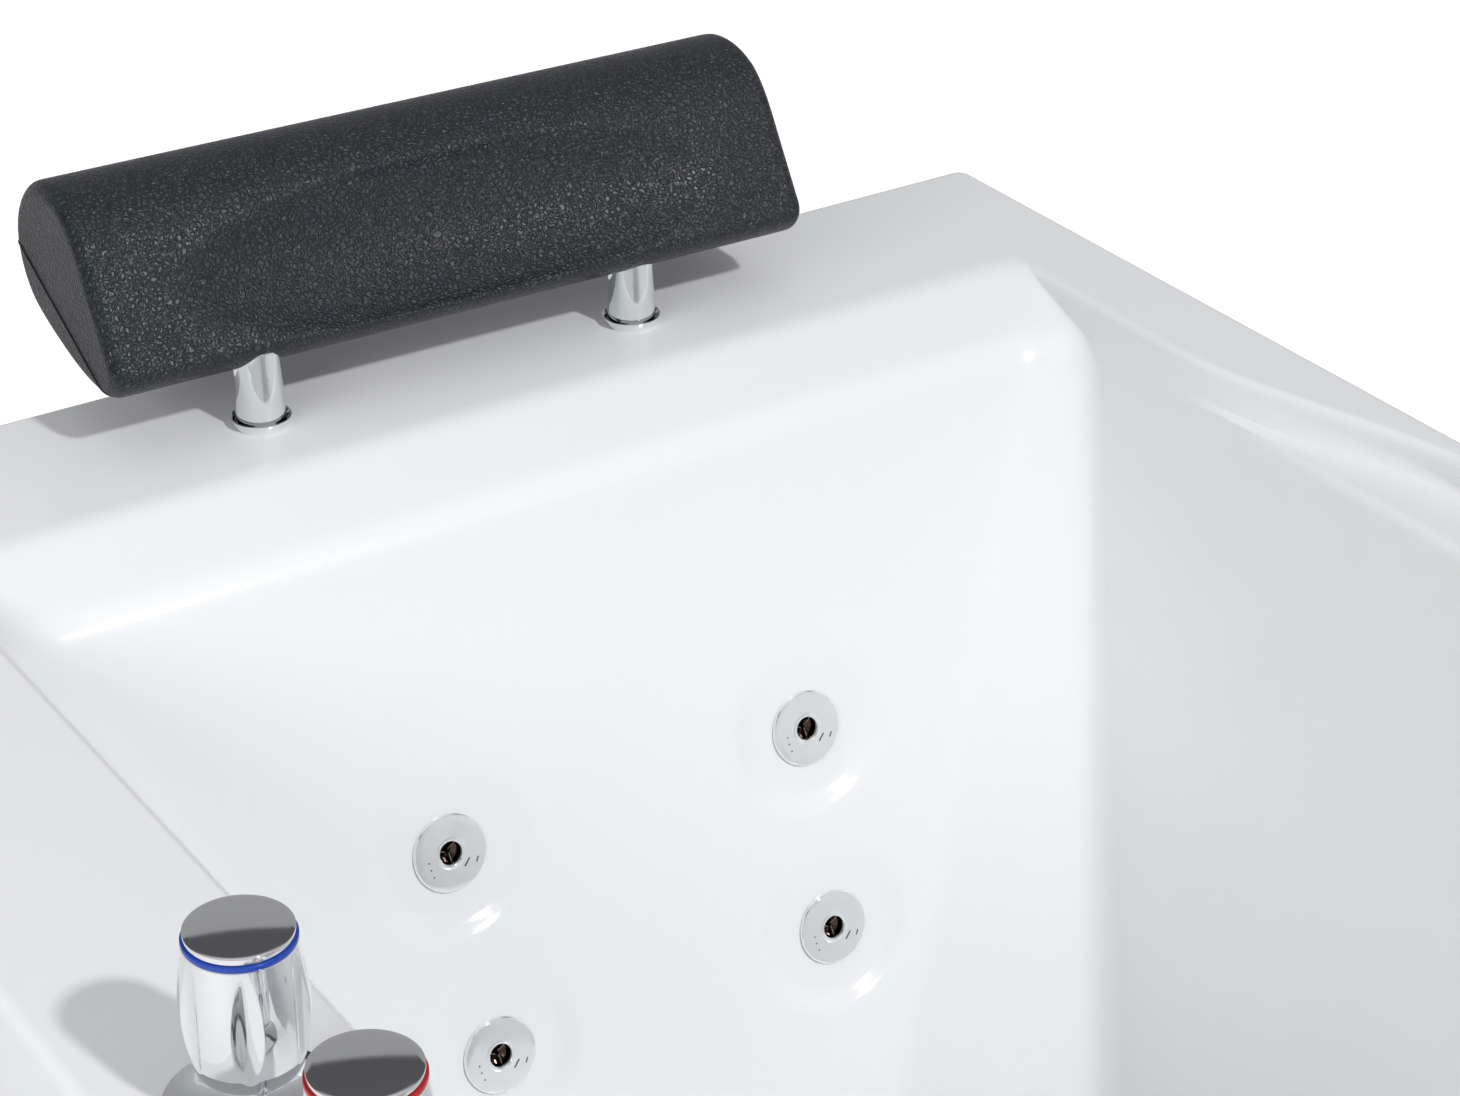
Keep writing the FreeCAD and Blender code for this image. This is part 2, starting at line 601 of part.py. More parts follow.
# ---------------------------------------------------------------- frame, board and feet
def frame():
    stations = [X_HEAD + END_STATION, X_HEAD + PUMP_STATION, X_MID, X_FOOT - END_STATION]
    y_ends = (Y_TAP + UPRIGHT_SETBACK, Y_WALL - UPRIGHT_SETBACK)
    foot_points = [Vector(X_HEAD + x, Y_BASIN + side * RAIL_SPREAD, 0)
                   for x in (FOOT_INSET, LENGTH / 2, LENGTH - FOOT_INSET) for side in (-1, 1)]
    rails = []
    for side in (-1, 1):
        y = Y_BASIN + side * RAIL_SPREAD
        rail = square_tube((X_HEAD + END_STATION - CROSS_W / 2, y - RAIL / 2, RAIL_TOP - RAIL),
                           (X_FOOT - END_STATION + CROSS_W / 2, y + RAIL / 2, RAIL_TOP), 0)
        rails.append(rail.cut([cylinder(STUD_R + CLEAR, RAIL_TOP - TUBE_WALL, p) for p in foot_points]))
    keep("frame_rails", *rails)
    keep("cross_members", *[square_tube((x - CROSS_W / 2, y_ends[0], RAIL_TOP),
                                        (x + CROSS_W / 2, y_ends[1], CROSS_TOP), 1) for x in stations])
    uprights = []
    for x in (stations[0], stations[2], stations[3]):
        for y, inner in ((y_ends[0], 1), (y_ends[1], -1)):
            recessed = inner == -1 and x == stations[2]
            top = UNDER_RIM - (ARMREST_DROP if recessed else 0)
            low_y, high_y = sorted((y, y + inner * UPRIGHT))
            uprights.append(square_tube((x - UPRIGHT / 2, low_y, CROSS_TOP),
                                        (x + UPRIGHT / 2, high_y, top), 2))
    screws = [(Vector(x, Y_TAP + SHELL + PANEL_GAP, CROSS_TOP + SCREW_RISE), TO_WALL)
              for x in (stations[0], stations[2], stations[3])]
    mid_cross = (RAIL_TOP + CROSS_TOP) / 2
    for x, way in ((X_HEAD + SHELL + PANEL_GAP, -TO_HEAD), (X_FOOT - SHELL - PANEL_GAP, TO_HEAD)):
        screws += [(Vector(x, Y_BASIN + s * RAIL_SPREAD, mid_cross), way) for s in (-1, 1)]
    shafts = [cylinder(SCREW_R + CLEAR, SCREW_LENGTH, p, way) for p, way in screws]
    keep("uprights", *[u.cut(shafts) for u in uprights])
    NODES["cross_members"] = Part.makeCompound([c.cut(shafts) for c in NODES["cross_members"].Solids])
    keep("panel_screws", *[cylinder(SCREW_HEAD_R, SCREW_HEAD_H, p, -way).fuse(
        cylinder(SCREW_R, SCREW_LENGTH, p, way)) for p, way in screws])
    pads, nuts = [], []
    for p in foot_points:
        pad = turned([(0, 0), (FOOT_PAD_R, 0), (FOOT_PAD_R, FOOT_PAD_H / 2),
                      (STUD_R, FOOT_PAD_H), (0, FOOT_PAD_H)], p)
        pads.append(pad.fuse(cylinder(STUD_R, RAIL_TOP - TUBE_WALL - SEAT, p)))
        base = p + UP * (RAIL_TOP - RAIL - LOCKNUT_H)
        corners = [base + Vector(LOCKNUT_R * math.cos(math.radians(60 * i)),
                                 LOCKNUT_R * math.sin(math.radians(60 * i)), 0) for i in range(6)]
        nuts.append(prism(corners, LOCKNUT_H, UP).cut(cylinder(STUD_R + CLEAR, LOCKNUT_H, base)))
    keep("levelling_feet", *pads)
    keep("foot_locknuts", *nuts)
    x_low, x_high = BACKREST.x_at(FLOOR_Z) + BASIN_FLOOR_R, FOOT_WALL.x_at(FLOOR_Z) - BASIN_FLOOR_R
    y_low, y_high = TAP_WALL.y_at(FLOOR_Z) + BASIN_FLOOR_R, BACK_WALL.y_at(FLOOR_Z) - BASIN_FLOOR_R
    board = box((x_low, y_low, CROSS_TOP), (x_high, y_high, BOARD_TOP))
    gap = WASTE_FLANGE_R + BOARD
    keep("base_board", board.cut(box((DRAIN_X - gap, Y_BASIN - gap, CROSS_TOP),
                                     (x_high, Y_BASIN + gap, BOARD_TOP))))
    return shafts


def panels(shafts):
    """Front, head and foot panels behind the rim's skirt; the wall side stays open."""
    outer, inner = SHELL + PANEL_GAP, SHELL + PANEL_GAP + PANEL
    top = UNDER_RIM - PANEL_TOP_GAP
    skin = rim_outline(outer, PANEL_FLOOR_GAP, top).cut(rim_outline(inner, PANEL_FLOOR_GAP, top))
    foot_edge = rim_outline(outer, PANEL_FLOOR_GAP, PANEL_FLOOR_GAP + PANEL)
    foot_edge = foot_edge.cut(box((X_HEAD + inner + PANEL_RETURN, Y_TAP + inner + PANEL_RETURN, 0),
                                  (X_FOOT - inner - PANEL_RETURN, Y_WALL, RIM_HEIGHT)))
    skin = skin.fuse(foot_edge).cut(shafts)
    corner = Y_TAP + inner + PANEL_RETURN
    behind = Y_WALL - UPRIGHT_SETBACK
    front = box((X_HEAD, Y_TAP, 0), (X_FOOT, corner, RIM_HEIGHT))
    head = box((X_HEAD, corner + SEAT, 0), (X_HEAD + inner + PANEL_RETURN, behind, RIM_HEIGHT))
    foot = box((X_FOOT - inner - PANEL_RETURN, corner + SEAT, 0), (X_FOOT, behind, RIM_HEIGHT))
    for name, region in (("front_panel", front), ("head_panel", head), ("foot_panel", foot)):
        keep(name, skin.common(region).Solids[0])


panels(frame())


# ---------------------------------------------------------------- headrest
def bulge(a, b, rise):
    """Middle point of an arc from a to b that stands out to the right of its run by rise."""
    run = b - a
    return (a + b) * 0.5 + Vector(run.z, 0, -run.x).normalize() * rise


def cushion_section(y, inset, hollow):
    """One outline across the cushion; hollow is how far its front face is scooped in."""
    middle = Vector(*CUSHION_MIDDLE)
    shrink = 1.0 - inset / CUSHION_GIRTH_R
    corners = [middle + (Vector(x, 0, z) - middle) * shrink for x, z, _ in CUSHION_OUTLINE]
    edges = []
    for i, (x, z, rise) in enumerate(CUSHION_OUTLINE):
        a, b = corners[i - 1], corners[i]
        via = bulge(a, b, -hollow if rise is None else rise * shrink)
        edges.append(Part.Arc(*[Vector(X_HEAD + p.x, y, RIM_HEIGHT + p.z) for p in (a, via, b)]))
    return Part.Wire([e.toShape() for e in edges])


def cushion():
    """Lofted from end to end: rounded ends, then a crown that dips into the oval scoop."""
    half = CUSHION_LENGTH / 2.0
    stops = []
    for degrees in (0, 20, 40, 65, 90):
        turn = math.radians(degrees)
        stops.append((half - CUSHION_END_R * (1 - math.cos(turn)), CUSHION_END_R * (1 - math.sin(turn)),
                      -CUSHION_CROWN))
    stops.append((half - 1.6 * CUSHION_END_R, 0.0, -CUSHION_CROWN))
    for degrees in (0, 12, 25, 40, 55, 70, 90):
        turn = math.radians(degrees)
        depth = (CUSHION_SCOOP + CUSHION_CROWN) * math.sin(turn) - CUSHION_CROWN
        stops.append((CUSHION_SCOOP_HALF * math.cos(turn), 0.0, depth))
    both = stops + [(-y, inset, hollow) for y, inset, hollow in reversed(stops[:-1])]
    sections = [cushion_section(Y_BASIN + y, inset, hollow) for y, inset, hollow in both]
    return Part.makeLoft(sections, True, False)


def headrest():
    rods, sleeves, rings, sockets = [], [], [], []
    rod_top = RIM_HEIGHT + SLEEVE_HEIGHT + ROD_IN_CUSHION
    wide, long, thick = CARRIER
    corner = Vector(POST_X - CARRIER_BACK - wide / 2, sum(POST_YS) / 2 - long / 2, rod_top - thick)
    carrier = Part.makeBox(wide, long, thick, corner)
    sockets.append(Part.makeBox(wide + 2 * SEAT, long + 2 * SEAT, thick + 2 * SEAT,
                                corner - Vector(SEAT, SEAT, SEAT)))
    rod_low = RIM_HEIGHT - TAIL_LENGTH - HEADREST_TRAVEL + TAIL_R
    for y in POST_YS:
        base = Vector(POST_X, y, RIM_HEIGHT)
        foot = Vector(POST_X, y, rod_low)
        rods.append(cylinder(ROD_R, rod_top - rod_low, foot))
        sockets.append(turned([(0, 0), (SLEEVE_BASE_R + CLEAR, 0), (SLEEVE_TOP_R + CLEAR, SLEEVE_HEIGHT),
                               (0, SLEEVE_HEIGHT)], base))
        sockets.append(cylinder(ROD_R + CLEAR, rod_top - rod_low, foot))
        bore = ROD_R + CLEAR
        sleeves.append(turned([(bore, -TAIL_LENGTH), (TAIL_R, -TAIL_LENGTH), (TAIL_R, 0),
                               (SLEEVE_BASE_R, 0), (SLEEVE_TOP_R, SLEEVE_HEIGHT - 1),
                               (SLEEVE_TOP_R - 1, SLEEVE_HEIGHT), (bore, SLEEVE_HEIGHT)], base))
        inner = SLEEVE_BASE_R + CLEAR
        flare = SLEEVE_RING_R - inner
        rings.append(turned([(inner, 0), (inner + flare * 0.45, 0), (SLEEVE_RING_R, SLEEVE_RING_H),
                             (SLEEVE_RING_R - 0.9, SLEEVE_RING_H), (inner + 0.3, 1.4), (inner, 1.4)], base))
    keep("headrest_cushion", cushion().cut(sockets))
    keep("headrest_rods", carrier.fuse(rods).removeSplitter())
    keep("headrest_sleeves", *sleeves)
    keep("sleeve_rings", *rings)


headrest()


# ---------------------------------------------------------------- taps and spout
def knob(base):
    body = turned([(0, KNOB_FOOT), (KNOB_FOOT_R, KNOB_FOOT), (KNOB_WAIST_R, KNOB_WAIST_Z, VIA),
                   (KNOB_SHOULDER_R, KNOB_SHOULDER_Z), (0, KNOB_SHOULDER_Z)], base)
    reach = KNOB_FLUTE_FLOOR + KNOB_FLUTE_R
    flutes = []
    for i in range(KNOB_FLUTES):
        turn = math.radians(KNOB_FLUTE_TURN + i * 360.0 / KNOB_FLUTES)
        flutes.append(cylinder(KNOB_FLUTE_R, KNOB_TOP,
                               base + Vector(reach * math.cos(turn), reach * math.sin(turn), 0)))
    cavity_top = KNOB_SHOULDER_Z - KNOB_WALL_TOP
    cavity = cylinder(KNOB_CAVITY_R, cavity_top, base)
    socket = cylinder(SPINDLE_R + CLEAR, cavity_top + SPINDLE_GRIP + SEAT, base)
    return body.cut(flutes + [cavity, socket])


def tap(name, x):
    base = Vector(x, TAP_Y, RIM_HEIGHT)
    ring_top = KNOB_SHOULDER_Z + INDEX_RING_H
    keep(name + "_knob", knob(base))
    keep(name + "_index_ring", ring(INDEX_RING_R, CAP_SPIGOT_R + CLEAR, INDEX_RING_H,
                                    base + UP * KNOB_SHOULDER_Z))
    keep(name + "_cap", turned([(0, KNOB_SHOULDER_Z), (CAP_SPIGOT_R, KNOB_SHOULDER_Z),
                                (CAP_SPIGOT_R, ring_top), (CAP_R, ring_top), (CAP_R, KNOB_TOP - CHAMFER),
                                (CAP_R - CHAMFER, KNOB_TOP), (0, KNOB_TOP)], base))
    grip = KNOB_SHOULDER_Z - KNOB_WALL_TOP + SPINDLE_GRIP
    keep(name + "_spindle", cylinder(SPINDLE_R, SPINDLE_LOW + grip, base - UP * SPINDLE_LOW))
    tail = TAIL_R + CLEAR
    keep(name + "_flange", turned([(tail, 0), (FLANGE_R, 0), (FLANGE_R, FLANGE_EDGE),
                                   FLANGE_WAIST + (VIA,), (NECK_R, FLANGE_H),
                                   (NECK_R, NECK_TOP), (tail, NECK_TOP)], base))
    foot, shoulder = -VALVE_DROP - INLET_LENGTH, -SHELL - BACKNUT_H - NUT_GAP
    bore, bore_foot = SPINDLE_R + CLEAR, -SPINDLE_LOW - SEAT
    valve = turned([(0, foot), (INLET_R, foot), (INLET_R, -VALVE_DROP), (VALVE_R, -VALVE_DROP),
                    (VALVE_R, shoulder), (TAIL_R, shoulder), (TAIL_R, NECK_TOP - CHAMFER),
                    (BONNET_R, NECK_TOP), (bore, NECK_TOP), (bore, bore_foot), (0, bore_foot)], base)
    waterway = cylinder(INLET_R - PIPE_WALL, -foot - VALVE_OUTLET, base + UP * foot)
    outlet = cylinder(MIX_PIPE_R - PIPE_WALL, VALVE_R * 2, base - UP * VALVE_OUTLET, TO_WALL)
    keep(name + "_valve", valve.cut([waterway, outlet]))


def spout():
    base = Vector(SPOUT_X, TAP_Y, RIM_HEIGHT)
    back, front = -SPOUT_DEPTH / 2, SPOUT_DEPTH / 2
    lip_top = SPOUT_HEIGHT - SPOUT_FALL
    lip_low = lip_top - SPOUT_THICK
    throat = SPOUT_HEIGHT - SPOUT_THICK - SPOUT_BEND
    crown, inner = SPOUT_HEIGHT - SPOUT_BEND * 2, SPOUT_BEND * (1 - math.sqrt(0.5))

    def line(a, b):
        return Part.LineSegment(at(*a), at(*b)).toShape()

    def arc(a, via, b):
        return Part.Arc(at(*a), at(*via), at(*b)).toShape()

    def at(y, z):
        return base + Vector(-SPOUT_WIDTH / 2, y, z)

    big = 2 * SPOUT_BEND
    edges = [line((back, 0), (back, crown)),
             arc((back, crown), (back + 2 * inner, SPOUT_HEIGHT - 2 * inner), (back + big, SPOUT_HEIGHT)),
             line((back + big, SPOUT_HEIGHT), (SPOUT_REACH, lip_top)),
             line((SPOUT_REACH, lip_top), (SPOUT_REACH, lip_low)),
             line((SPOUT_REACH, lip_low), (front + SPOUT_BEND, SPOUT_HEIGHT - SPOUT_THICK)),
             arc((front + SPOUT_BEND, SPOUT_HEIGHT - SPOUT_THICK),
                 (front + inner, SPOUT_HEIGHT - SPOUT_THICK - inner), (front, throat)),
             line((front, throat), (front, 0)),
             line((front, 0), (back, 0))]
    body = Part.Face(Part.Wire(edges)).extrude(Vector(SPOUT_WIDTH, 0, 0))
    body = body.fuse([cylinder(SPOUT_FOOT_R, SPOUT_FOOT_H, base),
                      cylinder(TAIL_R, VALVE_DROP, base - UP * VALVE_DROP)])
    bore = MIX_PIPE_R - PIPE_WALL
    mouth_low, mouth_high = lip_low + SPOUT_WALL, lip_low + SPOUT_WALL + SPOUT_MOUTH
    mouth = box((base.x - SPOUT_WIDTH / 2 + SPOUT_WALL, base.y + 2 * front, RIM_HEIGHT + mouth_low),
                (base.x + SPOUT_WIDTH / 2 - SPOUT_WALL, base.y + SPOUT_REACH, RIM_HEIGHT + mouth_high))
    duct = box((base.x - bore, base.y, RIM_HEIGHT + mouth_low),
               (base.x + bore, base.y + 2 * front, RIM_HEIGHT + mouth_high))
    riser = cylinder(bore, VALVE_OUTLET + bore + mouth_high, base - UP * (VALVE_OUTLET + bore))
    side = cylinder(bore, 2 * TAIL_R, base - UP * VALVE_OUTLET, TO_WALL)
    keep("fill_spout", body.cut([mouth, duct, riser, side]))


def mixing_pipe():
    y, z = TAP_Y + MIX_PIPE_OFFSET, RIM_HEIGHT - VALVE_OUTLET
    start, end = Vector(COLD_X - MIX_END, y, z), Vector(SPOUT_X + MIX_END, y, z)
    outer = pipe([start, end], MIX_PIPE_R)[0]
    inner = pipe([start - TO_HEAD * PIPE_WALL, end + TO_HEAD * PIPE_WALL], MIX_PIPE_R)[1]
    bodies = []
    for x, radius in ((COLD_X, VALVE_R), (HOT_X, VALVE_R), (SPOUT_X, TAIL_R)):
        branch, core = pipe([Vector(x, TAP_Y, z), Vector(x, y, z)], MIX_BRANCH_R)
        outer, inner = outer.fuse(branch), inner.fuse(core)
        bodies.append(cylinder(radius, VALVE_DROP, Vector(x, TAP_Y, RIM_HEIGHT - VALVE_DROP)))
    keep("mixing_pipe", outer.cut(bodies).cut(inner))


tap("cold", COLD_X)
tap("hot", HOT_X)
spout()
mixing_pipe()


# ---------------------------------------------------------------- air control and pump button
def deck_controls():
    air = Vector(X_HEAD + AIR_FROM_HEAD, TAP_Y, RIM_HEIGHT)
    knob_low = BEZEL_H + SEAT
    knob_top = knob_low + AIR_KNOB_H
    body = turned([(0, -SPINDLE_LOW), (AIR_STEM_R, -SPINDLE_LOW), (AIR_STEM_R, knob_low),
                   (AIR_KNOB_R, knob_low), (AIR_KNOB_R, knob_top - AIR_KNOB_BEVEL),
                   (AIR_KNOB_R - AIR_KNOB_BEVEL, knob_top), (0, knob_top)], air)
    mark = box((air.x - CHAMFER, air.y - AIR_KNOB_R, air.z + knob_top - CHAMFER),
               (air.x + CHAMFER, air.y - AIR_KNOB_R / 3, air.z + knob_top + CHAMFER))
    keep("air_knob", body.cut(mark))
    bore, bore_foot = AIR_STEM_R + CLEAR, -SPINDLE_LOW - SEAT
    valve = turned([(bore, bore_foot), (bore, BEZEL_H), (BEZEL_R - CHAMFER, BEZEL_H), (BEZEL_R, 0),
                    (TAIL_R, 0), (TAIL_R, -VALVE_DROP), (0, -VALVE_DROP), (0, bore_foot)], air)
    keep("air_valve", valve.cut(cylinder(AIR_FEED_R - PIPE_WALL, VALVE_DROP - SPINDLE_LOW,
                                         air - UP * VALVE_DROP)))
    spot = Vector(X_HEAD + BUTTON_FROM_HEAD, TAP_Y, RIM_HEIGHT)
    low = BUTTON_PROUD - BUTTON_LENGTH
    keep("pump_button", turned([(0, low), (BUTTON_R, low), (BUTTON_R, BUTTON_PROUD - CHAMFER),
                                (BUTTON_R - CHAMFER, BUTTON_PROUD), (0, BUTTON_PROUD)], spot))
    well, well_foot = BUTTON_R + CLEAR, low - BUTTON_TRAVEL - SEAT
    keep("button_housing", turned([(well, BEZEL_H), (BEZEL_R - CHAMFER, BEZEL_H), (BEZEL_R, 0), (TAIL_R, 0),
                                   (TAIL_R, -TAIL_LENGTH), (0, -TAIL_LENGTH), (0, well_foot),
                                   (well, well_foot)], spot))
    keep("deck_backnuts", *[ring(BACKNUT_R, TAIL_R + CLEAR, BACKNUT_H, p - UP * (SHELL + BACKNUT_H))
                            for p in DECK_FITTINGS])


deck_controls()


# ---------------------------------------------------------------- jets
def jet_face():
    """Turned face, its edge folded back over the body's flange, with the nozzle in its stem."""
    low = JET_FLANGE_H + SEAT
    top = low + JET_PLATE
    skirt, throat = JET_R - JET_SKIRT, JET_NOZZLE_DEPTH + JET_NOZZLE_L
    nozzle_low = throat + CHAMFER * 2
    return [(JET_BORE_R, -JET_STEM_L), (JET_STEM_R, -JET_STEM_L), (JET_STEM_R, low), (skirt, low),
            (skirt, SEAT), (JET_R, SEAT), (JET_R, top - JET_BEVEL), (JET_R - JET_BEVEL, top),
            (JET_BORE_R + JET_BEVEL, top), (JET_BORE_R, top - JET_BEVEL),
            (JET_BORE_R, -JET_NOZZLE_DEPTH + CHAMFER * 2), (JET_NOZZLE_R, -JET_NOZZLE_DEPTH),
            (JET_NOZZLE_R, -throat), (JET_BORE_R, -nozzle_low)]


def jets():
    bodies, nuts = [], []
    bore, back = JET_STEM_R + CLEAR, -JET_BARREL_L
    shell = [(bore, JET_FLANGE_H), (JET_FLANGE_R, JET_FLANGE_H), (JET_FLANGE_R, 0), (JET_BARREL_R, 0),
             (JET_BARREL_R, back), (0, back), (0, back + PIPE_WALL), (bore, back + PIPE_WALL)]
    for name, seat in JETS.items():
        axis = seat.way(0, 0, 1)
        keep(name + "_face", turned(jet_face(), seat.at(0, 0, 0), axis))
        body, hollow = turned(shell, seat.at(0, 0, 0), axis), cylinder(
            bore, JET_BARREL_L - PIPE_WALL, seat.at(0, 0, back + PIPE_WALL), axis)
        cuts = []
        for depth, radius in ((JET_PORT_WATER, WATER_BRANCH_R), (JET_PORT_AIR, AIR_BRANCH_R)):
            for way in seat.ways:
                port = seat.at(0, 0, -depth)
                body = body.fuse(cylinder(radius, JET_STUB, port, way).cut(hollow))
                cuts.append(cylinder(radius - PIPE_WALL, JET_STUB, port, way))
        bodies.append(body.cut(cuts))
        nuts.append(ring(JET_NUT_R, JET_BARREL_R + CLEAR, JET_NUT_H,
                         seat.at(0, 0, -SHELL - JET_NUT_H), axis))
    keep("jet_bodies", *bodies)
    keep("jet_nuts", *nuts)


jets()

# ---------------------------------------------------------------- pump places
PUMP_X = X_HEAD + PUMP_FROM_HEAD
PUMP_Z = CROSS_TOP + PUMP_FOOT_H + MOTOR_R
VOLUTE_Y = MOTOR_FRONT_Y - VOLUTE_W / 2
HEADER_Z = PUMP_Z + VOLUTE_R - PUMP_OUTLET_R


# ---------------------------------------------------------------- pipework
def on_line(a, b, z):
    return a + (b - a) * ((z - a.z) / (b.z - a.z))


def tee_sleeve(point, along, radius):
    """Sleeve round a pipe where another one joins it."""
    return cylinder(radius + ELBOW_COLLAR, 4 * radius, point - along * (2 * radius), along)


def manifold(depth, radius, branch_radius, header_z, feed):
    """Riser behind the backrest, a branch to each back jet, a header and a rail along each side."""
    ports = {name: seat.at(0, 0, -depth) for name, seat in JETS.items()}
    upper, lower = ports["back_jet_upper_left"], ports["back_jet_lower_left"]
    upper, lower = Vector(upper.x, Y_BASIN, upper.z), Vector(lower.x, Y_BASIN, lower.z)
    centre = on_line(upper, lower, header_z)
    low_end = centre if centre.z < lower.z else lower
    runs, knees = [([upper, low_end], radius)], [centre, upper]
    for name, port in ports.items():
        if name.startswith("back"):
            way = JETS[name].ways[0]
            runs.append(([port + way * JET_STUB, Vector(port.x, Y_BASIN, port.z)], branch_radius))
    for hand in ("tap_side", "wall_side"):
        first, second = ports["side_jet_%s_1" % hand], ports["side_jet_%s_2" % hand]
        corner = Vector(centre.x, first.y, centre.z)
        turn = Vector(centre.x, first.y, first.z)
        runs.append(([centre, corner, turn], radius))
        runs.append(([turn, first + TO_HEAD * JET_STUB], branch_radius))
        runs.append(([first - TO_HEAD * JET_STUB, second + TO_HEAD * JET_STUB], branch_radius))
        knees.append(turn)
    route, size, sleeve = feed(centre, ports["side_jet_tap_side_1"])
    runs.append((route, size))
    outer = inner = None
    for points, size in runs:
        solid, core = pipe(points, size)
        outer = solid if outer is None else outer.fuse(solid)
        inner = core if inner is None else inner.fuse(core)
    balls = [Part.makeSphere(radius + ELBOW_COLLAR, knee) for knee in knees]
    return outer.fuse(balls + [sleeve]).cut(inner)


def pump_feed(centre, rail):
    outlet = Vector(PUMP_X + PUMP_OUTLET_L, VOLUTE_Y, HEADER_Z)
    tee = Vector(centre.x, VOLUTE_Y, HEADER_Z)
    return [outlet, tee], WATER_R, tee_sleeve(tee, TO_WALL, WATER_R)


def air_feed(centre, rail):
    x = X_HEAD + AIR_FROM_HEAD
    valve = Vector(x, TAP_Y, RIM_HEIGHT - VALVE_DROP)
    tee = Vector(x, rail.y, rail.z)
    return [valve, Vector(x, TAP_Y, rail.z), tee], AIR_FEED_R, tee_sleeve(tee, TO_HEAD, AIR_BRANCH_R)


keep("water_pipes", manifold(JET_PORT_WATER, WATER_R, WATER_BRANCH_R, HEADER_Z, pump_feed))
keep("air_pipes", manifold(JET_PORT_AIR, AIR_R, AIR_BRANCH_R, RIM_HEIGHT - AIR_HEADER_DROP, air_feed))


# ---------------------------------------------------------------- pump
def pump():
    def along(y):
        return Vector(PUMP_X, MOTOR_FRONT_Y + y, PUMP_Z)

    def rod(radius, y_low, y_high):
        return cylinder(radius, y_high - y_low, along(y_low), TO_WALL)

    rear = MOTOR_LENGTH - MOTOR_WALL
    rotor_y = (MOTOR_LENGTH - ROTOR_LENGTH) / 2
    inside = MOTOR_R - MOTOR_WALL
    stator = rod(inside, rotor_y, rotor_y + ROTOR_LENGTH).cut(
        rod(ROTOR_R + ROTOR_GAP, rotor_y, rotor_y + ROTOR_LENGTH))
    foot_y = MOTOR_FRONT_Y + BEARING_W
    foot = box((PUMP_X - PUMP_FOOT_LENGTH / 2, foot_y, CROSS_TOP),
               (PUMP_X + PUMP_FOOT_LENGTH / 2, foot_y + PUMP_FOOT_WIDTH, CROSS_TOP + PUMP_FOOT_H))
    web = box((PUMP_X - MOTOR_R / 2, foot_y, CROSS_TOP),
              (PUMP_X + MOTOR_R / 2, foot_y + PUMP_FOOT_WIDTH, PUMP_Z - MOTOR_R / 2))
    shell = rod(MOTOR_R, 0, MOTOR_LENGTH).fuse([foot, web])
    shell = shell.cut([rod(inside, BEARING_W, rear - BEARING_W), rod(BEARING_R, 0, rear)])
    keep("motor_housing", shell.fuse(stator))
    shaft_low = -VOLUTE_W + VOLUTE_WALL + BEARING_W
    shaft = rod(SHAFT_R, shaft_low, rear - SEAT)
    keep("pump_rotor", shaft.fuse(rod(ROTOR_R, rotor_y, rotor_y + ROTOR_LENGTH)))
    keep("motor_bearings", *[ring(BEARING_R - CLEAR, SHAFT_R + CLEAR, BEARING_W, along(y), TO_WALL)
                             for y in (0, rear - BEARING_W)])
    outlet = Vector(PUMP_X, VOLUTE_Y, HEADER_Z)
    inlet_low = -VOLUTE_W - PUMP_INLET_L
    volute = rod(VOLUTE_R, -VOLUTE_W, 0)
    volute = volute.fuse([cylinder(PUMP_OUTLET_R, PUMP_OUTLET_L, outlet, -TO_HEAD),
                          rod(SUCTION_R + WASTE_WALL, inlet_low, -VOLUTE_W)])
    wet = rod(VOLUTE_R - VOLUTE_WALL, VOLUTE_WALL - VOLUTE_W, -VOLUTE_WALL)
    wet = wet.fuse([cylinder(PUMP_OUTLET_R - VOLUTE_WALL, PUMP_OUTLET_L - VOLUTE_WALL, outlet, -TO_HEAD),
                    cylinder(WATER_R - PIPE_WALL, PUMP_OUTLET_L, outlet, -TO_HEAD),
                    rod(SUCTION_R - PIPE_WALL, inlet_low, -VOLUTE_W + VOLUTE_WALL),
                    rod(SHAFT_R + CLEAR, -VOLUTE_WALL, 0)])
    keep("volute", volute.cut(wet))
    disc_low, disc_high = -VOLUTE_WALL - VANE_GAP - IMPELLER_DISC, -VOLUTE_WALL - VANE_GAP
    wheel = rod(IMPELLER_R, disc_low, disc_high).fuse(rod(IMPELLER_HUB_R, shaft_low - VANE_T, disc_low))
    vane = box((SHAFT_R + VANE_T, -VANE_H, -VANE_T / 2), (IMPELLER_R - VANE_T, 0, VANE_T / 2))
    for i in range(IMPELLER_VANES):
        blade = vane.copy()
        blade.Placement = Placement(along(disc_low), Rotation(TO_WALL, 360.0 * i / IMPELLER_VANES))
        wheel = wheel.fuse(blade)
    keep("impeller", wheel.cut(rod(SHAFT_R + CLEAR, shaft_low, disc_high)))


pump()


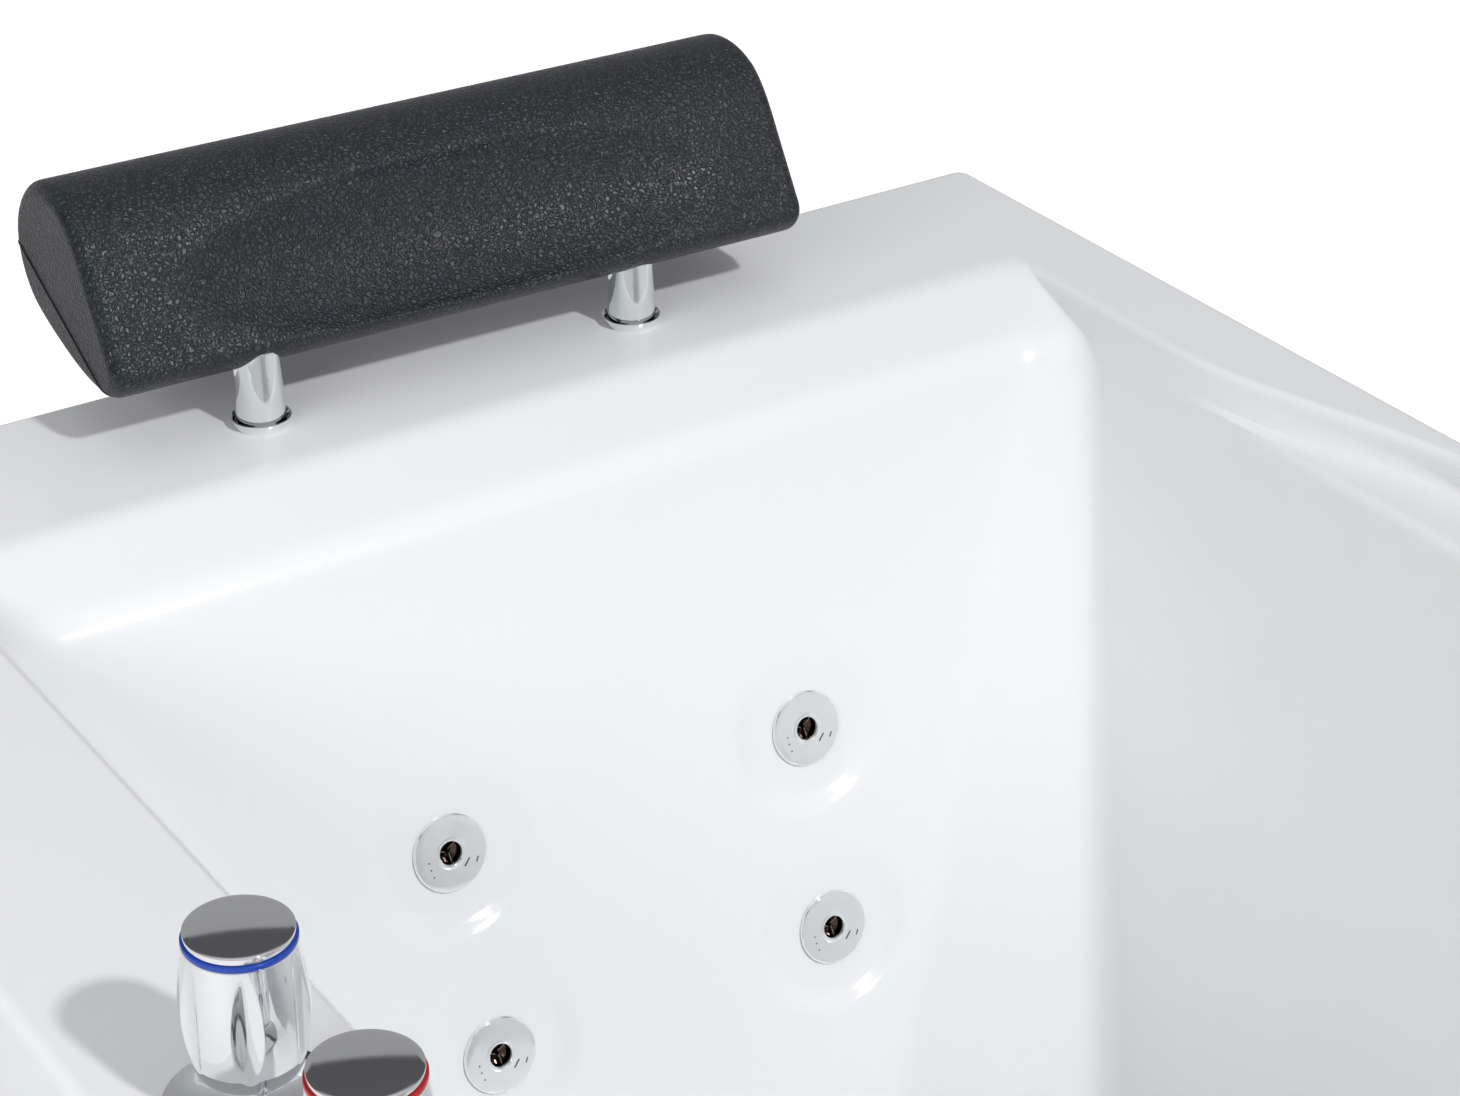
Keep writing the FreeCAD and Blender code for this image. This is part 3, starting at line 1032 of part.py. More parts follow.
# ---------------------------------------------------------------- suction
def suction():
    into, origin = SUCTION.way(0, 0, 1), SUCTION.at(0, 0, 0)
    bore, bezel = SUCTION_R - PIPE_WALL, GRILLE_R - GRILLE_SKIRT - CLEAR
    body = turned([(bore, -SUCTION_BARREL_L), (SUCTION_R, -SUCTION_BARREL_L), (SUCTION_R, 0), (bezel, 0),
                   (bezel, FLANGE_EDGE), (bore, FLANGE_EDGE)], origin, into)
    nut = ring(SUCTION_R + SHELL, SUCTION_R - CLEAR, JET_NUT_H, SUCTION.at(0, 0, -SHELL - JET_NUT_H), into)
    keep("suction_fitting", body.fuse(nut))
    inner = GRILLE_R - GRILLE_SKIRT
    plate = FLANGE_EDGE + CHAMFER
    cover = turned([(0, plate), (inner, plate), (inner, 0), (GRILLE_R, 0)]
                   + dome(GRILLE_R, plate, GRILLE_RISE), origin, into)
    holes = []
    for radius, count in GRILLE_RINGS:
        for i in range(count):
            turn = 2 * math.pi * i / count
            spot = SUCTION.at(radius * math.cos(turn), radius * math.sin(turn), 0)
            holes.append(cylinder(GRILLE_HOLE_R, plate + 2 * GRILLE_RISE, spot, into))
    keep("suction_grille", cover.cut(holes))
    start, turn = SUCTION.at(0, 0, -SUCTION_BARREL_L), SUCTION.at(0, 0, -SUCTION_TURN)
    inlet = Vector(PUMP_X, MOTOR_FRONT_Y - VOLUTE_W - PUMP_INLET_L, PUMP_Z)
    route = [start, turn, Vector(PUMP_X, turn.y, PUMP_Z), inlet]
    keep("suction_pipe", bent_pipe(route, SUCTION_R, SUCTION_BEND))


suction()


# ---------------------------------------------------------------- waste and overflow
def spider(bore, reach, length, place):
    """Small guide bush held by three arms inside a bore."""
    bush = cylinder(bore + SPIDER_WALL, length, Vector(0, 0, 0))
    for turn in (90, 210, 330):
        arm = box((0, -SPIDER_WALL / 2, 0), (reach, SPIDER_WALL / 2, length))
        arm.Placement = Placement(Vector(0, 0, 0), Rotation(UP, turn))
        bush = bush.fuse(arm)
    bush = bush.cut(cylinder(bore, length, Vector(0, 0, 0)))
    bush.Placement = place
    return bush


# level of the pipe between the waste and the overflow
LINK = Vector(DRAIN_X, Y_BASIN, BOARD_TOP - WASTE_DEPTH + WASTE_WALL + OVERFLOW_PIPE_R)
LINK_END = LINK - TO_HEAD * (WASTE_R + OVERFLOW_PIPE_R)


def waste():
    top, bottom = -SHELL, -SHELL - WASTE_DEPTH
    keep("drain_flange", turned([(DRAIN_BORE_R, -DRAIN_TAIL_L), (DRAIN_TAIL_R, -DRAIN_TAIL_L),
                                 (DRAIN_TAIL_R, 0), (DRAIN_R, 0), (DRAIN_R - CHAMFER, DRAIN_RIM_H),
                                 (DRAIN_BORE_R, DRAIN_RIM_H)], DRAIN_TOP))
    low = DRAIN_RIM_H + SEAT
    stem_low = low - PLUG_STEM_L
    keep("drain_plug", turned([(0, stem_low), (PLUG_STEM_R, stem_low), (PLUG_STEM_R, low), (PLUG_R, low)]
                              + dome(PLUG_R, low + CHAMFER, PLUG_RISE), DRAIN_TOP))
    inside = DRAIN_TAIL_R + CLEAR
    body = turned([(0, bottom), (WASTE_R, bottom), (WASTE_R, top - WASTE_FLANGE_H),
                   (WASTE_FLANGE_R, top - WASTE_FLANGE_H), (WASTE_FLANGE_R, top), (inside, top),
                   (inside, bottom + WASTE_WALL), (0, bottom + WASTE_WALL)], DRAIN_TOP)
    cavity = cylinder(inside, WASTE_DEPTH, DRAIN_TOP + UP * bottom)
    outlet = DRAIN_TOP + UP * (bottom - OUTLET_LENGTH)
    body = body.fuse([cylinder(OUTLET_R, OUTLET_LENGTH, outlet),
                      cylinder(OVERFLOW_PIPE_R, WASTE_R + OVERFLOW_PIPE_R, LINK, -TO_HEAD).cut(cavity)])
    body = body.cut([cylinder(OUTLET_R - WASTE_WALL, OUTLET_LENGTH + 2 * WASTE_WALL, outlet),
                     cylinder(OVERFLOW_PIPE_R - PIPE_WALL, WASTE_R + OVERFLOW_PIPE_R, LINK, -TO_HEAD)])
    guide = DRAIN_TOP + UP * (stem_low + PLUG_LIFT + WASTE_WALL)
    bush = spider(PLUG_STEM_R + CLEAR, inside + CHAMFER, SPIDER_L, Placement(guide, Rotation()))
    keep("waste_body", body.fuse(bush))


def overflow():
    into, origin = OVERFLOW.way(0, 0, 1), OVERFLOW.at(0, 0, 0)
    back, bore = -OVERFLOW_BARREL_L, OVERFLOW_BARREL_R - PIPE_WALL
    depth = back + PIPE_WALL + OVERFLOW_PIPE_R
    start, turn = OVERFLOW.at(0, 0, depth), OVERFLOW.at(0, -OVERFLOW_DROP_LEG, depth)
    outer, inner = pipe([start, turn, Vector(turn.x, Y_BASIN, LINK.z), LINK_END], OVERFLOW_PIPE_R)
    outer = outer.fuse([cylinder(OVERFLOW_BARREL_R, OVERFLOW_BARREL_L, OVERFLOW.at(0, 0, back), into),
                        cylinder(OVERFLOW_KNOB_R - SHELL, FLANGE_EDGE, origin, into)])
    hollow = cylinder(bore, OVERFLOW_BARREL_L + FLANGE_EDGE, OVERFLOW.at(0, 0, back + PIPE_WALL), into)
    bush = spider(OVERFLOW_STEM_R + CLEAR, bore + CHAMFER, SPIDER_L,
                  OVERFLOW.place.multiply(Placement(Vector(0, 0, -OVERFLOW_STEM_L), Rotation())))
    keep("overflow_pipe", outer.cut([hollow, inner]).fuse(bush))
    low = FLANGE_EDGE + OVERFLOW_STAND
    high = low + OVERFLOW_KNOB_H
    body = turned([(0, -OVERFLOW_STEM_L), (OVERFLOW_STEM_R, -OVERFLOW_STEM_L), (OVERFLOW_STEM_R, low),
                   (OVERFLOW_KNOB_R, low), (OVERFLOW_KNOB_R, high - 3 * CHAMFER),
                   (OVERFLOW_KNOB_R - 3 * CHAMFER, high), (0, high)], origin, into)
    grips = []
    for i in range(OVERFLOW_GRIPS):
        turn = 2 * math.pi * (i + 0.5) / OVERFLOW_GRIPS
        spot = OVERFLOW.at(OVERFLOW_GRIP_REACH * math.cos(turn), OVERFLOW_GRIP_REACH * math.sin(turn), low)
        grips.append(cylinder(OVERFLOW_GRIP_R, OVERFLOW_KNOB_H, spot, into))
    keep("overflow_knob", body.cut(grips))


waste()
overflow()

for node, shape in NODES.items():
    shape.exportStep("parts/%s.step" % node)
    print("%-28s valid %s  solids %d  volume %.0f"
          % (node, shape.isValid(), len(shape.Solids), shape.Volume))
print(len(NODES), "nodes")
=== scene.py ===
import bpy
import bmesh
import json
import math
from mathutils import Matrix, Vector
from mathutils.geometry import delaunay_2d_cdt

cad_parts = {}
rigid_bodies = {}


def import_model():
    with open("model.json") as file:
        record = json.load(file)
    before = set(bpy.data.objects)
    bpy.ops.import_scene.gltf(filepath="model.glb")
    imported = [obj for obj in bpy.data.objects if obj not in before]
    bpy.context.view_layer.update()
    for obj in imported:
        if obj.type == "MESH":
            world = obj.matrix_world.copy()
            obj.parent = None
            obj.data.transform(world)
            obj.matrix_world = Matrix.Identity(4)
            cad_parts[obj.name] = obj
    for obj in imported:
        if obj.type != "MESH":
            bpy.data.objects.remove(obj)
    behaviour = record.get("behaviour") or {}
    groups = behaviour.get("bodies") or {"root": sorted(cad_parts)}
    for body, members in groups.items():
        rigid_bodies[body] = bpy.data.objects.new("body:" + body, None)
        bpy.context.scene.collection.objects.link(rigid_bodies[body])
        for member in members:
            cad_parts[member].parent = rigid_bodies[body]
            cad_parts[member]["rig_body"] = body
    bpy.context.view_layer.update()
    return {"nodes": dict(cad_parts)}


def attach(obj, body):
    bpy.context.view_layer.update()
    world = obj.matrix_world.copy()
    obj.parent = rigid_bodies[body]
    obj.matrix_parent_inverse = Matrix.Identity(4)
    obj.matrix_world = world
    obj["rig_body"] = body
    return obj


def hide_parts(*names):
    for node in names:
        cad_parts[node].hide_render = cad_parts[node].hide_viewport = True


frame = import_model()
nodes = frame["nodes"]
scene = bpy.context.scene

# ---- camera
# Stands above the tap side near the spout and looks down across the basin
# at the headrest and the backrest.
def add_object(name, data):
    """A new object in the scene."""
    made = bpy.data.objects.new(name, data)
    scene.collection.objects.link(made)
    return made


view = bpy.data.cameras.new("camera")
view.lens, view.sensor_width, view.clip_start = 85.7, 36.0, 0.05
scene.camera = add_object("camera", view)
scene.camera.location = (0.8230, -0.8495, 1.4732)
scene.camera.rotation_euler = (math.radians(61.05), 0.0, math.radians(56.8))

# ---- tub shell
# One sheet of white gloss acrylic, vacuum formed over a mould and stiffened behind with glass
# fibre.  Flat rim with a rolled skirt, a sloping band and a leaning backrest at the head, corner
# facets that widen downwards, an armrest swept into the wall-side rim, shallow seats round the jets.
RIM, BASIN_FLOOR = 0.580, 0.110
HEAD_EDGE, FOOT_EDGE, TAP_EDGE, WALL_EDGE = -0.881, 0.919, -0.450, 0.450
CREASE = 0.556                               # height where the band meets the backrest
HEAD_LEAN, FOOT_LEAN, SIDE_LEAN = 18.3, 12.0, 14.0     # degrees from upright
HEAD_REACH, FOOT_REACH, TAP_REACH, WALL_REACH = 0.680, 0.819, 0.328, 0.388
SHELL = 0.006
SECTION_ROUND = 0.028                        # upright edges of the basin, seen from above
FACET_X, FACET_Y = (0.018, 0.074), (0.029, 0.115)      # corner facets' reach at the crease, at the floor
BAND, BACKREST = 0.024, 0.446                # heights of the band and of the backrest below it
SKIRT_LOW, ROLL, OUTER_CORNER = 0.535, 0.008, 0.011
JET_SEAT_R, JET_HOLE_R, JET_TILT = 0.048, 0.017, math.radians(4)
SUCTION_HOLE_R, OVERFLOW_HOLE_R, DRAIN_HOLE_R = 0.0253, 0.0218, 0.0293
TAP_LINE = TAP_EDGE + 0.061
POST_X, POST_YS = HEAD_EDGE + 0.084, (-0.1075, 0.1395)
DECK_HOLE_R = 0.0138
DECK_SPOTS = [(HEAD_EDGE + x, TAP_LINE) for x in (0.642, 0.7495, 0.925, 1.110, 1.200)]
DECK_SPOTS += [(POST_X, y) for y in POST_YS]


def rounded_profile(corners, radii):
    """Outward reach at a height, for a wall drawn from its top corner point down to its last."""
    arcs = []
    for i, radius in enumerate(radii, 1):
        before = (corners[i - 1] - corners[i]).normalized()
        after = (corners[i + 1] - corners[i]).normalized()
        half = before.angle(after) / 2
        middle = corners[i] + (before + after).normalized() * (radius / math.sin(half))
        ends = [corners[i] + way * (radius / math.tan(half)) for way in (before, after)]
        side = 1 if ends[0].x + ends[1].x > 2 * middle.x else -1
        arcs.append((ends[0].y, ends[1].y, middle, radius, side))

    def reach(z):
        for high, low, middle, radius, side in arcs:
            if low - 1e-6 <= z <= high + 1e-6:
                return middle.x + side * math.sqrt(max(0.0, radius ** 2 - (z - middle.y) ** 2))
        for a, b in zip(corners, corners[1:]):
            if b.y <= z <= a.y and a.y - b.y > 1e-9:
                return a.x + (b.x - a.x) * (a.y - z) / (a.y - b.y)
        return corners[-1].x
    return reach


def wall_profile(rim_reach, lean, rim_round=0.007):
    """A plane wall that leans from its place at the rim down to the floor."""
    foot = rim_reach - math.tan(math.radians(lean)) * (RIM - BASIN_FLOOR)
    return rounded_profile([Vector((rim_reach + 0.04, RIM)), Vector((rim_reach, RIM)),
                            Vector((foot, BASIN_FLOOR)), Vector((foot - 0.1, BASIN_FLOOR))],
                           (rim_round, 0.045))


BACKREST_FOOT = HEAD_REACH - math.tan(math.radians(HEAD_LEAN)) * (CREASE - BASIN_FLOOR)
head_reach = rounded_profile([Vector((0.80, RIM)), Vector((0.743, RIM)), Vector((HEAD_REACH, CREASE)),
                              Vector((BACKREST_FOOT, BASIN_FLOOR)),
                              Vector((BACKREST_FOOT - 0.1, BASIN_FLOOR))], (0.050, 0.030, 0.045))
foot_reach = wall_profile(FOOT_REACH, FOOT_LEAN)
tap_reach = wall_profile(TAP_REACH, SIDE_LEAN)
wall_reach = wall_profile(WALL_REACH, SIDE_LEAN)


def soft_bend(z, value, above, below, width=0.014):
    """A size that changes at one rate above the crease and at another below it."""
    u = z - CREASE
    if u > width:
        return value + above * u
    if u < -width:
        return value + below * u
    return value + below * u + (above - below) * (u + width) ** 2 / (4 * width)


def basin_corners(z):
    """The eight corner points of the basin at one height, anticlockwise from the tap side."""
    head, foot, tap, wall = -head_reach(z), foot_reach(z), -tap_reach(z), wall_reach(z)
    slope_x, slope_y = ((high - low) / BACKREST for high, low in (FACET_X, FACET_Y))
    head_x = soft_bend(z, FACET_X[0], -0.012 / BAND, slope_x)
    head_y = soft_bend(z, FACET_Y[0], -0.020 / BAND, slope_y)
    foot_x, foot_y = FACET_X[0] + slope_x * (z - CREASE), FACET_Y[0] + slope_y * (z - CREASE)
    return [Vector(p) for p in (
        (head + head_x, tap), (foot - foot_x, tap), (foot, tap + foot_y), (foot, wall - foot_y),
        (foot - foot_x, wall), (head + head_x, wall), (head, wall - head_y), (head, tap + head_y))]


def stations(marks):
    """Fractions along a wall from (position, spacing) marks."""
    spots = [marks[0][0]]
    for (start, spacing), (end, _) in zip(marks, marks[1:]):
        count = max(1, round(abs(end - start) / spacing))
        spots += [start + (end - start) * (i + 1) / count for i in range(count)]
    return [(s - spots[0]) / (spots[-1] - spots[0]) for s in spots[1:-1]]


def even(count):
    return [i / count for i in range(1, count)]


# Positions along each wall at the level of the side jets; denser where something is let in.
LONG_WALL = stations([(-0.525, 0.014), (-0.405, 0.006), (-0.317, 0.012), (-0.239, 0.004), (-0.123, 0.03),
                      (0.211, 0.004), (0.327, 0.022), (0.690, 0.02)])
FOOT_WALL = stations([(-0.18, 0.018), (0.0, 0.0055), (0.06, 0.018), (0.24, 0.1)])
SIDES = [LONG_WALL, even(5), FOOT_WALL, even(5), [1 - t for t in reversed(LONG_WALL)],
         even(6), even(80), even(6)]
CORNER_STEPS = 6


def ease(t):
    t = max(0.0, min(1.0, t))
    return t * t * (3 - 2 * t)


def armrest_sweep(x):
    """How far the armrest has opened at this place: 0 outside it, 1 along its middle."""
    near, far = (x - HEAD_EDGE - 0.290) / 0.230, (FOOT_EDGE - 0.290 - x) / 0.230
    return ease(min(near, far))


def corner_arc(before, corner, after, radius, steps):
    """Points on the arc that rounds one corner of a flat outline."""
    way_in, way_out = (before - corner).normalized(), (after - corner).normalized()
    half = way_in.angle(way_out) / 2
    middle = corner + (way_in + way_out).normalized() * (radius / math.sin(half))
    a = corner + way_in * (radius / math.tan(half)) - middle
    b = corner + way_out * (radius / math.tan(half)) - middle
    turn = a.angle(b)
    return [middle + (a * math.sin(turn * (1 - i / steps)) + b * math.sin(turn * i / steps)) / math.sin(turn)
            for i in range(steps + 1)]


TOP_ROWS = [RIM - 0.007 * (1 - math.cos(math.radians(a))) for a in (0, 14, 28, 42, 56, 70, 82)]
TOP_ROWS += [0.5725, 0.5695, 0.5665, 0.5638, 0.5615, 0.5597, 0.5578, 0.5558, 0.5536, 0.5512, 0.5486, 0.5458,
             0.5425]
ROWS = TOP_ROWS + [0.535, 0.525, 0.515] + [0.510 - 0.005 * i for i in range(11)] + [0.448, 0.440]
ROWS += [0.436 - 0.004 * i for i in range(63)] + [0.180, 0.170, 0.160, 0.150]
ROWS += [BASIN_FLOOR + 0.045 * (1 - math.cos(math.radians(a)))
         for a in (75, 66, 57, 48, 39, 30, 21, 12, 5, 0)]


def armrest_rows():
    """The rows from the rim down past the armrest, as (reach, height), where it is fully open."""
    lip, shelf = WALL_EDGE - 0.018, RIM - 0.020
    plane = WALL_REACH - math.tan(math.radians(SIDE_LEAN)) * 0.020
    low = Vector((wall_reach(TOP_ROWS[-1]), TOP_ROWS[-1]))
    a, b = Vector((lip + 0.01, RIM)), Vector((lip, RIM))
    c, d = Vector((lip, shelf)), Vector((plane, shelf))
    return (corner_arc(a, b, c, 0.0062, 6) + corner_arc(b, c, d, 0.008, 5)
            + corner_arc(c, d, low, 0.010, 5) + [low])


ARMREST = armrest_rows()
while len(ARMREST) < len(TOP_ROWS):          # more rows down its edge, to match the basin's
    ARMREST.insert(13, (ARMREST[12] + ARMREST[13]) / 2)


def basin_row(index, z):
    """One closed loop of points round the basin."""
    corners = basin_corners(z)
    arcs = []
    for i, corner in enumerate(corners):
        before, after = corners[i - 1], corners[(i + 1) % 8]
        half = (before - corner).angle(after - corner) / 2
        room = 0.45 * min((before - corner).length, (after - corner).length)
        radius = min(SECTION_ROUND, room * math.tan(half))
        arcs.append(corner_arc(before, corner, after, radius, CORNER_STEPS))
    loop = []
    for i in range(8):
        loop += [Vector((p.x, p.y, z)) for p in arcs[i]]
        start, end = arcs[i][-1], arcs[(i + 1) % 8][0]
        for t in SIDES[i]:
            p = start.lerp(end, t)
            p = Vector((p.x, p.y, z))
            if i == 4 and index < len(ARMREST):
                p = p.lerp(Vector((p.x, *ARMREST[index])), armrest_sweep(p.x))
            loop.append(p)
    return loop


def wall_seat(point, outward, tilt):
    """Frame of a fitting on a wall: Z looks into the basin, Y up the wall."""
    inward = -outward.normalized()
    across = Vector((0, 0, 1)).cross(inward).normalized()
    upward = inward.cross(across)
    turn = Matrix((across, upward, inward)).transposed().to_4x4()
    sunk = Matrix.Translation((0, 0, -JET_SEAT_R * math.sin(tilt)))
    return Matrix.Translation(point) @ turn @ sunk @ Matrix.Rotation(tilt, 4, "X")


def leaning_out(x, y, lean):
    return Vector((x * math.cos(lean), y * math.cos(lean), -math.sin(lean)))


JET_SEATS = {}
for row, drop, half in (("upper", 0.201, 0.121), ("lower", 0.3195, 0.1155)):
    for hand, side in (("left", -1), ("right", 1)):
        z = RIM - drop
        spot = Vector((-head_reach(z), 0.030 + side * half, z))
        JET_SEATS["back_jet_%s_%s" % (row, hand)] = wall_seat(
            spot, leaning_out(-1, 0, math.radians(HEAD_LEAN)), JET_TILT)
for hand, side, reach in (("tap_side", -1, tap_reach), ("wall_side", 1, wall_reach)):
    for number, station in enumerate((0.700, 1.150), 1):
        spot = Vector((HEAD_EDGE + station, side * reach(RIM - 0.300), RIM - 0.300))
        JET_SEATS["side_jet_%s_%d" % (hand, number)] = wall_seat(
            spot, leaning_out(0, side, math.radians(SIDE_LEAN)), JET_TILT)
SUCTION_SEAT = wall_seat(Vector((HEAD_EDGE + 0.520, -tap_reach(0.218), 0.218)),
                         leaning_out(0, -1, math.radians(SIDE_LEAN)), 0.0)
OVERFLOW_SEAT = wall_seat(Vector((foot_reach(0.485), 0.030, 0.485)),
                          leaning_out(1, 0, math.radians(FOOT_LEAN)), 0.0)
DRAIN = Vector((FOOT_EDGE - 0.320, 0.030, BASIN_FLOOR))


def ring_of(centre, radius, count):
    return [Vector((centre[0] + radius * math.cos(2 * math.pi * i / count),
                    centre[1] + radius * math.sin(2 * math.pi * i / count))) for i in range(count)]


def rim_outline(inset, z, spacing=0.06):
    """Rounded outline of the rim, inset from its outer edge."""
    x0, x1, y0, y1 = HEAD_EDGE + inset, FOOT_EDGE - inset, TAP_EDGE + inset, WALL_EDGE - inset
    corners = [Vector(p) for p in ((x0, y0), (x1, y0), (x1, y1), (x0, y1))]
    loop = []
    for i, corner in enumerate(corners):
        following = corners[(i + 1) % 4]
        arc = corner_arc(corners[i - 1], corner, following, OUTER_CORNER - inset, 8)
        last = corner_arc(corner, following, corners[(i + 2) % 4], OUTER_CORNER - inset, 8)[0]
        count = round((last - arc[-1]).length / spacing)
        loop += arc + [arc[-1].lerp(last, (j + 1) / count) for j in range(count - 1)]
    return [Vector((p.x, p.y, z)) for p in loop]


def add_row(points, row):
    """Adds a row of points and gives their numbers."""
    points.extend(row)
    return list(range(len(points) - len(row), len(points)))


def stitch(faces, upper, lower):
    """Quads between two closed rows of point numbers."""
    for i in range(len(upper)):
        j = (i + 1) % len(upper)
        faces.append((upper[i], upper[j], lower[j], lower[i]))


def press_jet_seat(point, seat):
    """Moves a point of a wall down onto the shallow seat of a jet near it."""
    local = seat.inverted() @ point
    away = math.hypot(local.x, local.y)
    if away > JET_SEAT_R + 0.006 or abs(local.z) > 0.03:
        return point
    return seat @ Vector((local.x, local.y, local.z * (1 - ease((JET_SEAT_R + 0.004 - away) / 0.012))))


def tub_surface():
    """The face of the acrylic: skirt, rim, basin walls and floor."""
    points, faces = [], []
    rows = [add_row(points, basin_row(index, z)) for index, z in enumerate(ROWS)]
    floor_loop = [points[i] for i in rows[-1]]
    for t in (0.25, 0.5, 0.75, 0.9, 1.0):
        rows.append(add_row(points, [p.lerp(DRAIN + (p - DRAIN).normalized() * DRAIN_HOLE_R, t)
                                     for p in floor_loop]))
    for upper, lower in zip(rows, rows[1:]):
        stitch(faces, upper, lower)
    for i, p in enumerate(points):
        if 0.18 < p.z < 0.46:
            for seat in JET_SEATS.values():
                p = press_jet_seat(p, seat)
            points[i] = p
    opening = rows[0]
    skirt = [(ROLL * (1 - math.sin(turn)), RIM - ROLL * (1 - math.cos(turn)))
             for turn in (math.radians(a) for a in (0, 15, 30, 45, 60, 75, 90))]
    skirt = [add_row(points, rim_outline(*row)) for row in skirt + [(0.0, 0.556), (0.0, SKIRT_LOW)]]
    for upper, lower in zip(skirt, skirt[1:]):
        stitch(faces, lower, upper)
    flat, edges = [], []
    for loop in [[points[i].xy for i in skirt[0]], [points[i].xy for i in opening]] + [
            ring_of(spot, DECK_HOLE_R, 28) for spot in DECK_SPOTS]:
        start = len(flat)
        flat += loop
        edges += [(start + i, start + (i + 1) % len(loop)) for i in range(len(loop))]
    edge, both = len(skirt[0]), len(skirt[0]) + len(opening)
    numbers = skirt[0] + opening + add_row(points, [Vector((p.x, p.y, RIM)) for p in flat[both:]])
    cells = delaunay_2d_cdt(flat, edges, [], 0, 1e-7)
    origin = [o[0] for o in cells[3]]
    for cell in cells[2]:
        centre = sum((cells[0][i] for i in cell), Vector((0, 0))) / len(cell)
        if inside(centre, flat[edge:both]) or not inside(centre, flat[:edge]):
            continue
        if any((centre - Vector(spot)).length < DECK_HOLE_R for spot in DECK_SPOTS):
            continue
        faces.append([numbers[origin[i]] for i in cell])
    return points, faces


def inside(point, outline):
    """Whether a flat point lies within a closed outline."""
    found = False
    for a, b in zip(outline, outline[1:] + outline[:1]):
        if (a.y > point.y) != (b.y > point.y):
            if point.x < a.x + (b.x - a.x) * (point.y - a.y) / (b.y - a.y):
                found = not found
    return found


def open_hole(mesh, seat, radius):
    """Cuts a round hole in a wall and draws the cut edge onto its circle."""
    into = seat.inverted()
    middles = [(face, into @ face.calc_center_median()) for face in mesh.faces]
    doomed = [face for face, p in middles if abs(p.z) < 0.01 and math.hypot(p.x, p.y) < radius]
    edge = {v for f in doomed for v in f.verts}
    bmesh.ops.delete(mesh, geom=doomed, context="FACES")
    for v in edge:
        if v.is_valid and v.link_faces:
            local = into @ v.co
            scale = radius / math.hypot(local.x, local.y)
            v.co = seat @ Vector((local.x * scale, local.y * scale, local.z))


def piece_from(name, points, faces, edges=()):
    """A new object from points and faces."""
    data = bpy.data.meshes.new(name)
    data.from_pydata([tuple(p) for p in points], edges, faces)
    return add_object(name, data)


def make_real(piece):
    """Turns what the modifiers make into the piece's own mesh."""
    bpy.context.view_layer.update()
    made = bpy.data.meshes.new_from_object(piece.evaluated_get(bpy.context.evaluated_depsgraph_get()))
    piece.modifiers.clear()
    piece.data = made


def shade_smooth(data, sharp):
    """Smooth shading, but for edges sharper than the angle."""
    data.polygons.foreach_set("use_smooth", [True] * len(data.polygons))
    data.set_sharp_from_angle(angle=math.radians(sharp))


def settle(piece, sharp):
    """Makes the modifiers' result real, and smooth but for its sharp edges."""
    make_real(piece)
    shade_smooth(piece.data, sharp)
    return piece


def weigh_normals(piece):
    """Lets the large faces set the shading of the small ones beside them."""
    weigh = piece.modifiers.new("weigh", "WEIGHTED_NORMAL")
    weigh.keep_sharp = True
    weigh.weight = 80
    make_real(piece)


def dress(piece, body, node=None):
    """Puts a piece on its body, and in the place of its CAD node if it has one."""
    if node:
        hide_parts(node)
    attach(piece, body)


tub = piece_from("tub", *tub_surface())
work = bmesh.new()
work.from_mesh(tub.data)
for seat in JET_SEATS.values():
    open_hole(work, seat, JET_HOLE_R)
open_hole(work, SUCTION_SEAT, SUCTION_HOLE_R)
open_hole(work, OVERFLOW_SEAT, OVERFLOW_HOLE_R)
bmesh.ops.remove_doubles(work, verts=work.verts, dist=1e-6)
bmesh.ops.recalc_face_normals(work, faces=work.faces)
lowest = min(work.faces, key=lambda f: f.calc_center_median().z)
if lowest.normal.z < 0:
    bmesh.ops.reverse_faces(work, faces=work.faces)
work.to_mesh(tub.data)
work.free()
wall = tub.modifiers.new("wall", "SOLIDIFY")
wall.thickness, wall.offset, wall.use_even_offset = SHELL, -1.0, False
settle(tub, 38)
weigh_normals(tub)


def node_group(name, kind, inputs, outputs):
    """An empty node group with the given (name, type) sockets."""
    group = bpy.data.node_groups.new(name, kind)
    for way, sockets in (("INPUT", inputs), ("OUTPUT", outputs)):
        for socket, form in sockets:
            group.interface.new_socket(socket, in_out=way, socket_type="NodeSocket" + form)
    return group


def set_values(node, values):
    """Sets inputs by name, with underscores for blanks."""
    for socket, value in values.items():
        node.inputs[socket.replace("_", " ")].default_value = value


def add_node(tree, kind, settings=None, **values):
    """A new node with its settings and the values of its inputs."""
    node = tree.nodes.new(kind)
    for key, value in (settings or {}).items():
        setattr(node, key, value)
    set_values(node, values)
    return node


def wire(tree, *links):
    """Joins sockets, each link given as (node, output, node, input)."""
    for source, out, target, into in links:
        tree.links.new(source.outputs[out], target.inputs[into])


def new_material(name):
    material = bpy.data.materials.new(name)
    material.use_nodes = True
    return material, material.node_tree, material.node_tree.nodes["Principled BSDF"]


# The effect every finish shares: slow clouds and a fine grain over the piece's own coordinates.
surface = node_group("cloud and grain", "ShaderNodeTree",
                     (("Vector", "Vector"), ("Cloud Scale", "Float"), ("Grain Scale", "Float")),
                     (("Cloud", "Float"), ("Grain", "Float")))
group_in, group_out = surface.nodes.new("NodeGroupInput"), surface.nodes.new("NodeGroupOutput")
for socket, detail in (("Cloud", 3.0), ("Grain", 2.0)):
    noise = add_node(surface, "ShaderNodeTexNoise", Detail=detail)
    wire(surface, (group_in, "Vector", noise, "Vector"), (group_in, socket + " Scale", noise, "Scale"),
         (noise, "Fac", group_out, socket))


